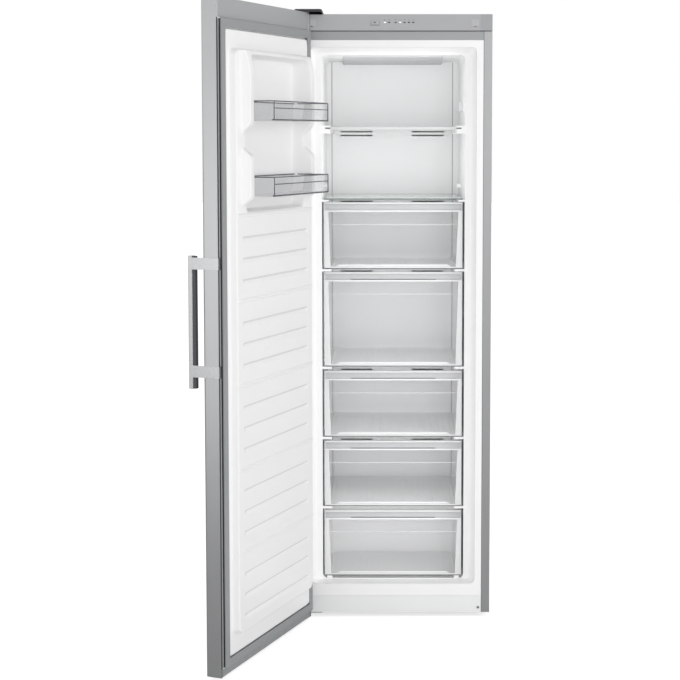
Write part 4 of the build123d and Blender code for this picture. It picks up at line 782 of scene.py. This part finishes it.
# %% [markdown]
# ## The door bins
# The bins are smoke-tinted and thin, so the eye catches their edges: the rim, the rail a third of the way
# down the front, the corners and the thick foot. The walls are pale sheets, and the edges are darker
# strips in the same piece.

# %% Bins
bin_height, bin_half, bin_front, bin_back = 54.0, 187.5, -309.0, -193.2
rail_share = 0.62


def round_loop(half, front, back):
    """Plan of a bin: a closed rounded rectangle, four straight sides with quarter rounds between them."""
    radius, turn = 8.0, np.linspace(0.0, np.pi / 2, 6)
    corner = np.stack([np.cos(turn), np.sin(turn)], axis=-1) * radius
    centre = np.array([[half - radius, back - radius], [radius - half, back - radius],
                       [radius - half, front + radius], [half - radius, front + radius]])
    way = [corner, corner[::-1] * [-1, 1], corner * [-1, -1], corner[::-1] * [1, -1]]
    return np.concatenate([spot + each for spot, each in zip(centre, way)])


def bin_shell(low, high, half, front, back):
    """Wall, floor sheet and rim of a bin. Each row is a plan loop, set in or out, at its own level."""
    wall_rows = ((low + 1.0, 6.0), (low + 2.5, 2.6), (low + 6.0, 1.4), (high - 2.0, 0.8))
    rows = [at_level(round_loop(half - inset, front + inset, back - inset), level)
            for level, inset in wall_rows]
    wall = grid_part(np.stack(rows), wrap_columns=True)
    section = ((0.0, -3.0), (0.0, -0.5), (-0.5, 0.0), (-2.6, 0.0), (-3.0, -0.5), (-2.6, -3.0))
    rows = [at_level(round_loop(half + out, front - out, back + out), high + up) for out, up in section]
    rim = grid_part(np.stack(rows), wrap_rows=True, wrap_columns=True, flip=True)
    base = soft_box((6.0 - half, half - 6.0), (front + 6.0, back - 6.0), (low, low + 2.0), 0.9)
    return wall, base, rim


def bin_strips(low, high, half, front, back):
    """Rail, foot and corner strips of a bin. The wall at back is the one that shows, away from the door."""
    rail_level = low + (high - low) * rail_share
    rail, upright = (rail_level - 1.3, rail_level + 1.3), (low + 2.0, high - 2.0)
    strips = [soft_box((8.0 - half, half - 8.0), (back - 2.4, back + 1.0), rail, 0.7),
              soft_box((4.0 - half, half - 4.0), (back - 5.0, back - 0.3), (low, low + 4.2), 1.2)]
    strips += mirrored(half - 8.6, half - 6.0, (back - 2.0, back + 0.4), upright, 0.8)
    return strips + mirrored(half - 2.4, half - 0.2, (front + 3.0, front + 6.5), upright, 0.8)


for name, low in (("upper", 1527.0), ("lower", 1321.5)):
    limits = (low, low + bin_height, bin_half, bin_front, bin_back)
    wall, base, rim = bin_shell(*limits)
    edges = joined([rim] + bin_strips(*limits))
    kinds = np.repeat([0, 1], [len(wall[1]) + len(base[1]), len(edges[1])])
    add_piece(f"bin_{name}_smoke_tray", on_door(joined([wall, base, edges])), [bin_smoke, bin_edge],
              f"bin_{name}", [f"door_bin_{name}"], kinds)

# %% [markdown]
# ## Glass shelves
# A glass shelf is nearly invisible on its faces, but its cut edge is dark, because one looks through the
# whole depth of the sheet there. The sheet is one soft-edged box, and the faces that lie on its outline
# take the edge finish.

# %% Glass shelves
cut_edge = 0.6
for name in ("upper", "lower"):
    low_corner, high_corner = box_mm(f"glass_shelf_{name}")
    sheet = soft_box(*zip(low_corner, high_corner), 0.7)
    middle = sheet[0][sheet[1]].mean(axis=1)
    inside = np.minimum(middle[:, :2] - low_corner[:2], high_corner[:2] - middle[:, :2]).min(axis=1)
    add_piece(f"shelf_{name}_glass", sheet, [shelf_glass, glass_edge], f"shelf_{name}",
              [f"glass_shelf_{name}"], (inside < cut_edge).astype(int))

# %% [markdown]
# ## The air intake under the ceiling
# The intake is a shallow duct that gets a little wider and deeper towards the back; its grey is painted
# shade for the recess under the ceiling. Its section is a rounded tray, carried from front to back while its
# half width and its drop grow.

# %% Air intake
def intake_part(front, back, ceiling):
    """Tray sections from front to back: half width 154 to 165 mm, drop 3 to 10.4 mm, corners rounded."""
    sections = ((front, 154.0, 3.0), (front + 2.0, 154.1, 3.2), (60.0, 161.4, 7.6), (back - 1.0, 165.0, 10.4))
    bend = np.linspace(0.0, np.pi / 2, 7)
    rows = []
    for y, half, drop in sections:
        radius = min(drop, 6.0)
        x = radius - half - radius * np.cos(bend)
        z = ceiling - drop + radius - radius * np.sin(bend)
        x = np.concatenate([[-half], x, -x[::-1], [half]])
        z = np.concatenate([[ceiling], z, z[::-1], [ceiling]])
        rows.append(np.column_stack([x, np.full(16, y), z]))
    front_edge = np.column_stack([rows[0][:, :2], np.full(16, ceiling)])
    return grid_part(np.stack([front_edge] + rows), flip=True)


low_corner, high_corner = box_mm("air_intake_hood")
add_piece("air_intake_tray", intake_part(low_corner[1], high_corner[1], high_corner[2]), sensor_grey_and_intake_shade, "cabinet",
          ["air_intake_hood"], sharp=50.0)

# %% [markdown]
# ## Lamps and marks on the fascia
# Seven small lenses show the setting, and the first and the fourth are lit. Over each sits a small plain
# printed mark, drawn here as thin raised bars, and the push button has a dark dot and a fine dark outline
# that is painted shade for the gap round it.

# %% Lenses and their marks
panel_face = -301.0
lens_places = (-26.4, -13.4, 6.0, 19.6, 32.8, 46.0, 59.0)
lens_level, lens_width, lens_height = 1825.5, 6.0, 3.4
mark_level, bar_over_mark = 1832.7, 1.7


def panel_bar(x, z, width, height, proud=0.15, radius=0.1):
    """Small soft bar centred at x, z that stands proud of the fascia's front."""
    return soft_box((x - width / 2, x + width / 2), (panel_face - proud, panel_face + 2.0),
                    (z - height / 2, z + height / 2), radius)


for name, finish, places in (("dark", lens_dark, (1, 2, 4, 5, 6)), ("lit", lens_lit, (0, 3))):
    lenses = [panel_bar(lens_places[n], lens_level, lens_width, lens_height, 0.3, 0.25) for n in places]
    add_piece(f"lenses_{name}", joined(lenses), finish, "cabinet", ["indicator_lenses"])
marks = [panel_bar(x, mark_level, 4.4, 0.9) for x in lens_places]
marks += [panel_bar(x, mark_level, 0.9, 3.6) for x in lens_places[:2]]
marks += [panel_bar(x, mark_level + bar_over_mark, 2.6, 0.7) for x in lens_places[2:5]]
add_piece("fascia_marks", joined(marks), print_and_shade_grey, "cabinet")

# %% Button dot and the painted shade of its gap
low_corner, high_corner = box_mm("control_button")
button_x, button_z = (low_corner[0] + high_corner[0]) / 2, (low_corner[2] + high_corner[2]) / 2
dot = soft_box((button_x - 3.2, button_x + 3.2), (low_corner[1] - 0.2, low_corner[1] + 1.0),
               (button_z - 1.6, button_z + 1.6), 0.2)
add_piece("button_dot", dot, lens_dark, "button")
# painted shade: thin dark bars below and beside the button, where its gap lies in shade
outline = [panel_bar(button_x, low_corner[2] - 0.7, 27.6, 1.0)]
outline += [panel_bar(button_x + side * 14.1, button_z - 3.0, 0.9, 12.0) for side in (-1, 1)]
add_piece("button_gap_shade", joined(outline), print_and_shade_grey, "cabinet")

# %% [markdown]
# ## Painted shade in the seams beside the rear cover
# The cover at the back stops short of the liner's corners, and the gap on each side lies in shade. A grey
# strip a little over three millimetres wide paints that shade as a soft grey line.

# %% Cover seams
seam_inside, seam_outside = 198.9, 202.3
cover_low, cover_high = box_mm("evaporator_cover")
# painted shade: a grey strip over each gap beside the cover
seam_shades = mirrored(seam_inside, seam_outside, (cover_low[1] - 0.2, cover_low[1] + 4.0),
                 (cover_low[2] + 2.0, cover_high[2] - 2.0), 0.8)
add_piece("cover_seam_shade", joined(seam_shades), seam_painted_shade, "cabinet")

# %% [markdown]
# ## Head strip and flange edges
# Under the fascia runs a recessed strip whose darker grey is partly its own tone and partly painted shade
# from the fascia's overhang, and each flange's turned edge gets a thin dark line of painted shade against the
# white liner. Both are flat, so plates a tenth of a millimetre proud of the steel stand for them, and the
# closed door's gasket still clears them.

# %% Strip and edges on the cabinet's front
flange_width, strip_proud, edge_proud = 25.5, 0.08, 0.12
wrap_low, wrap_high = box_mm("outer_cabinet")
liner_top, fascia_foot = box_mm("inner_liner")[1][2], box_mm("control_fascia")[0][2]
face_y, flange_inside = wrap_low[1], wrap_high[0] - flange_width
head_z = (liner_top + 0.1, fascia_foot - 2.0)
# partly painted shade: the darker strip under the fascia
strip = soft_box((-flange_inside, flange_inside), (face_y - strip_proud, face_y + 0.3), head_z, 0.05)
add_piece("head_strip", strip, cap_grey_and_strip_shade, "cabinet")
# painted shade: thin dark lines along the flanges' turned edges
edges = mirrored(flange_inside - 0.6, flange_inside + 1.0, (face_y - edge_proud, face_y + 0.3),
                 (wrap_low[2] + 1.0, head_z[1]), 0.05)
add_piece("flange_edge_shade", joined(edges), print_and_shade_grey, "cabinet")

# %% [markdown]
# ## The studio
# A white floor under a white world. The world is plain white where the camera, a reflection or clear
# plastic sees it, and a weaker white where it lights the freezer, so the background stays white and the
# light stays even.

# %% World
world_light = 0.51
world = bpy.data.worlds.new("white_studio")
bpy.context.scene.world = world
world.use_nodes = True
sky = world.node_tree
background = sky.nodes["Background"]
background.inputs["Color"].default_value = (1.0, 1.0, 1.0, 1.0)
seen = sky.nodes.new("ShaderNodeLightPath")
shown = worked_out(sky, "MAXIMUM", seen.outputs["Is Camera Ray"], seen.outputs["Is Transmission Ray"])
shown = worked_out(sky, "MAXIMUM", shown, seen.outputs["Is Glossy Ray"])
sky.links.new(ranged(sky, shown, world_light, 1.0), background.inputs["Strength"])
print("world light", world_light)

# %% [markdown]
# ## The floor
# The floor glows a little for the camera alone, so it meets the white background without a line and still
# keeps the shadow. A reflection sees it darker, so that it doesn't wash out the steel near the ground.

# %% Floor
floor_seen, floor_mirrored, glow = 0.86, 0.22, 0.66
floor_white, floor_tree, floor_shader = new_finish("floor_white", (0.8, 0.8, 0.8, 1.0))
floor_shader.inputs["Roughness"].default_value = 0.85
floor_shader.inputs["Emission Color"].default_value = (1.0, 1.0, 1.0, 1.0)
floor_path = floor_tree.nodes.new("ShaderNodeLightPath")
floor_tone = ranged(floor_tree, floor_path.outputs["Is Glossy Ray"], floor_seen, floor_mirrored)
floor_tree.links.new(floor_tone, floor_shader.inputs["Base Color"])
floor_glow = worked_out(floor_tree, "MULTIPLY", floor_path.outputs["Is Camera Ray"], glow)
floor_tree.links.new(floor_glow, floor_shader.inputs["Emission Strength"])

turn = np.linspace(0.0, 2.0 * np.pi, 65)[:-1]
reach = np.array([0.0, 1.0, 3.0, 9.0, 30.0])[:, None]
floor_level = np.full((5, 64), -0.0005)
floor_points = np.stack([reach * np.cos(turn), reach * np.sin(turn), floor_level], axis=-1)
floor_mesh = bpy.data.meshes.new("studio_floor")
floor_mesh.from_pydata(floor_points.reshape(-1, 3).tolist(), [], grid_faces(5, 64, False, True).tolist())
floor_mesh.materials.append(floor_white)
floor = bpy.data.objects.new("studio_floor", floor_mesh)
bpy.context.scene.collection.objects.link(floor)

# %% [markdown]
# ## Lamps
# A soft lamp in front fills the freezer and leaves no highlight, and a weak card above it gives the steel
# something to mirror. A lamp on the left grazes the outside of the door, and a strong one far to the right
# lights the inner door. Three weak lamps at the mouth stand for light that bounces about inside: one over
# the full height, one for the shelves and one for the drawers.

# %% Lamps
def soft_lamp(name, place, target, size, power, shows=True, tall=None):
    """Area lamp at a place, facing a target. A lamp that doesn't show leaves no highlight."""
    data = bpy.data.lights.new(name, "AREA")
    data.shape, data.size, data.size_y, data.energy = "RECTANGLE", size, tall or size, power
    lamp = bpy.data.objects.new(name, data)
    way = np.array(target) - np.array(place)
    lamp.location = place
    lamp.visible_glossy = shows
    lamp.visible_camera = False
    flat = np.hypot(way[0], way[1])
    lamp.rotation_euler = (np.pi / 2 + np.arctan2(way[2], flat), 0.0, np.arctan2(-way[0], way[1]))
    bpy.context.scene.collection.objects.link(lamp)


soft_lamp("front_lamp", (0.25, -4.7, 1.0), (0.0, 0.0, 0.8), 1.8, 40.0, shows=False)
soft_lamp("front_card", (0.1, -4.8, 1.45), (0.0, 0.0, 1.3), 1.8, 4.0, tall=1.2)
soft_lamp("left_lamp", (-2.6, -3.4, 0.72), (-0.4, -0.7, 0.9), 1.6, 12.0, tall=1.7)
soft_lamp("right_lamp", (4.0, -3.0, 2.0), (-0.3, -0.5, 0.8), 2.4, 68.0)
soft_lamp("mouth_fill", (0.0, -0.30, 0.93), (0.0, 0.2, 0.93), 0.38, 0.70, shows=False, tall=1.60)
soft_lamp("shelf_fill", (0.0, -0.23, 1.51), (0.0, 0.2, 1.51), 0.41, 0.42, shows=False, tall=0.40)
soft_lamp("drawer_fill", (0.0, -0.215, 0.76), (0.0, 0.2, 0.76), 0.39, 0.82, shows=False, tall=1.16)
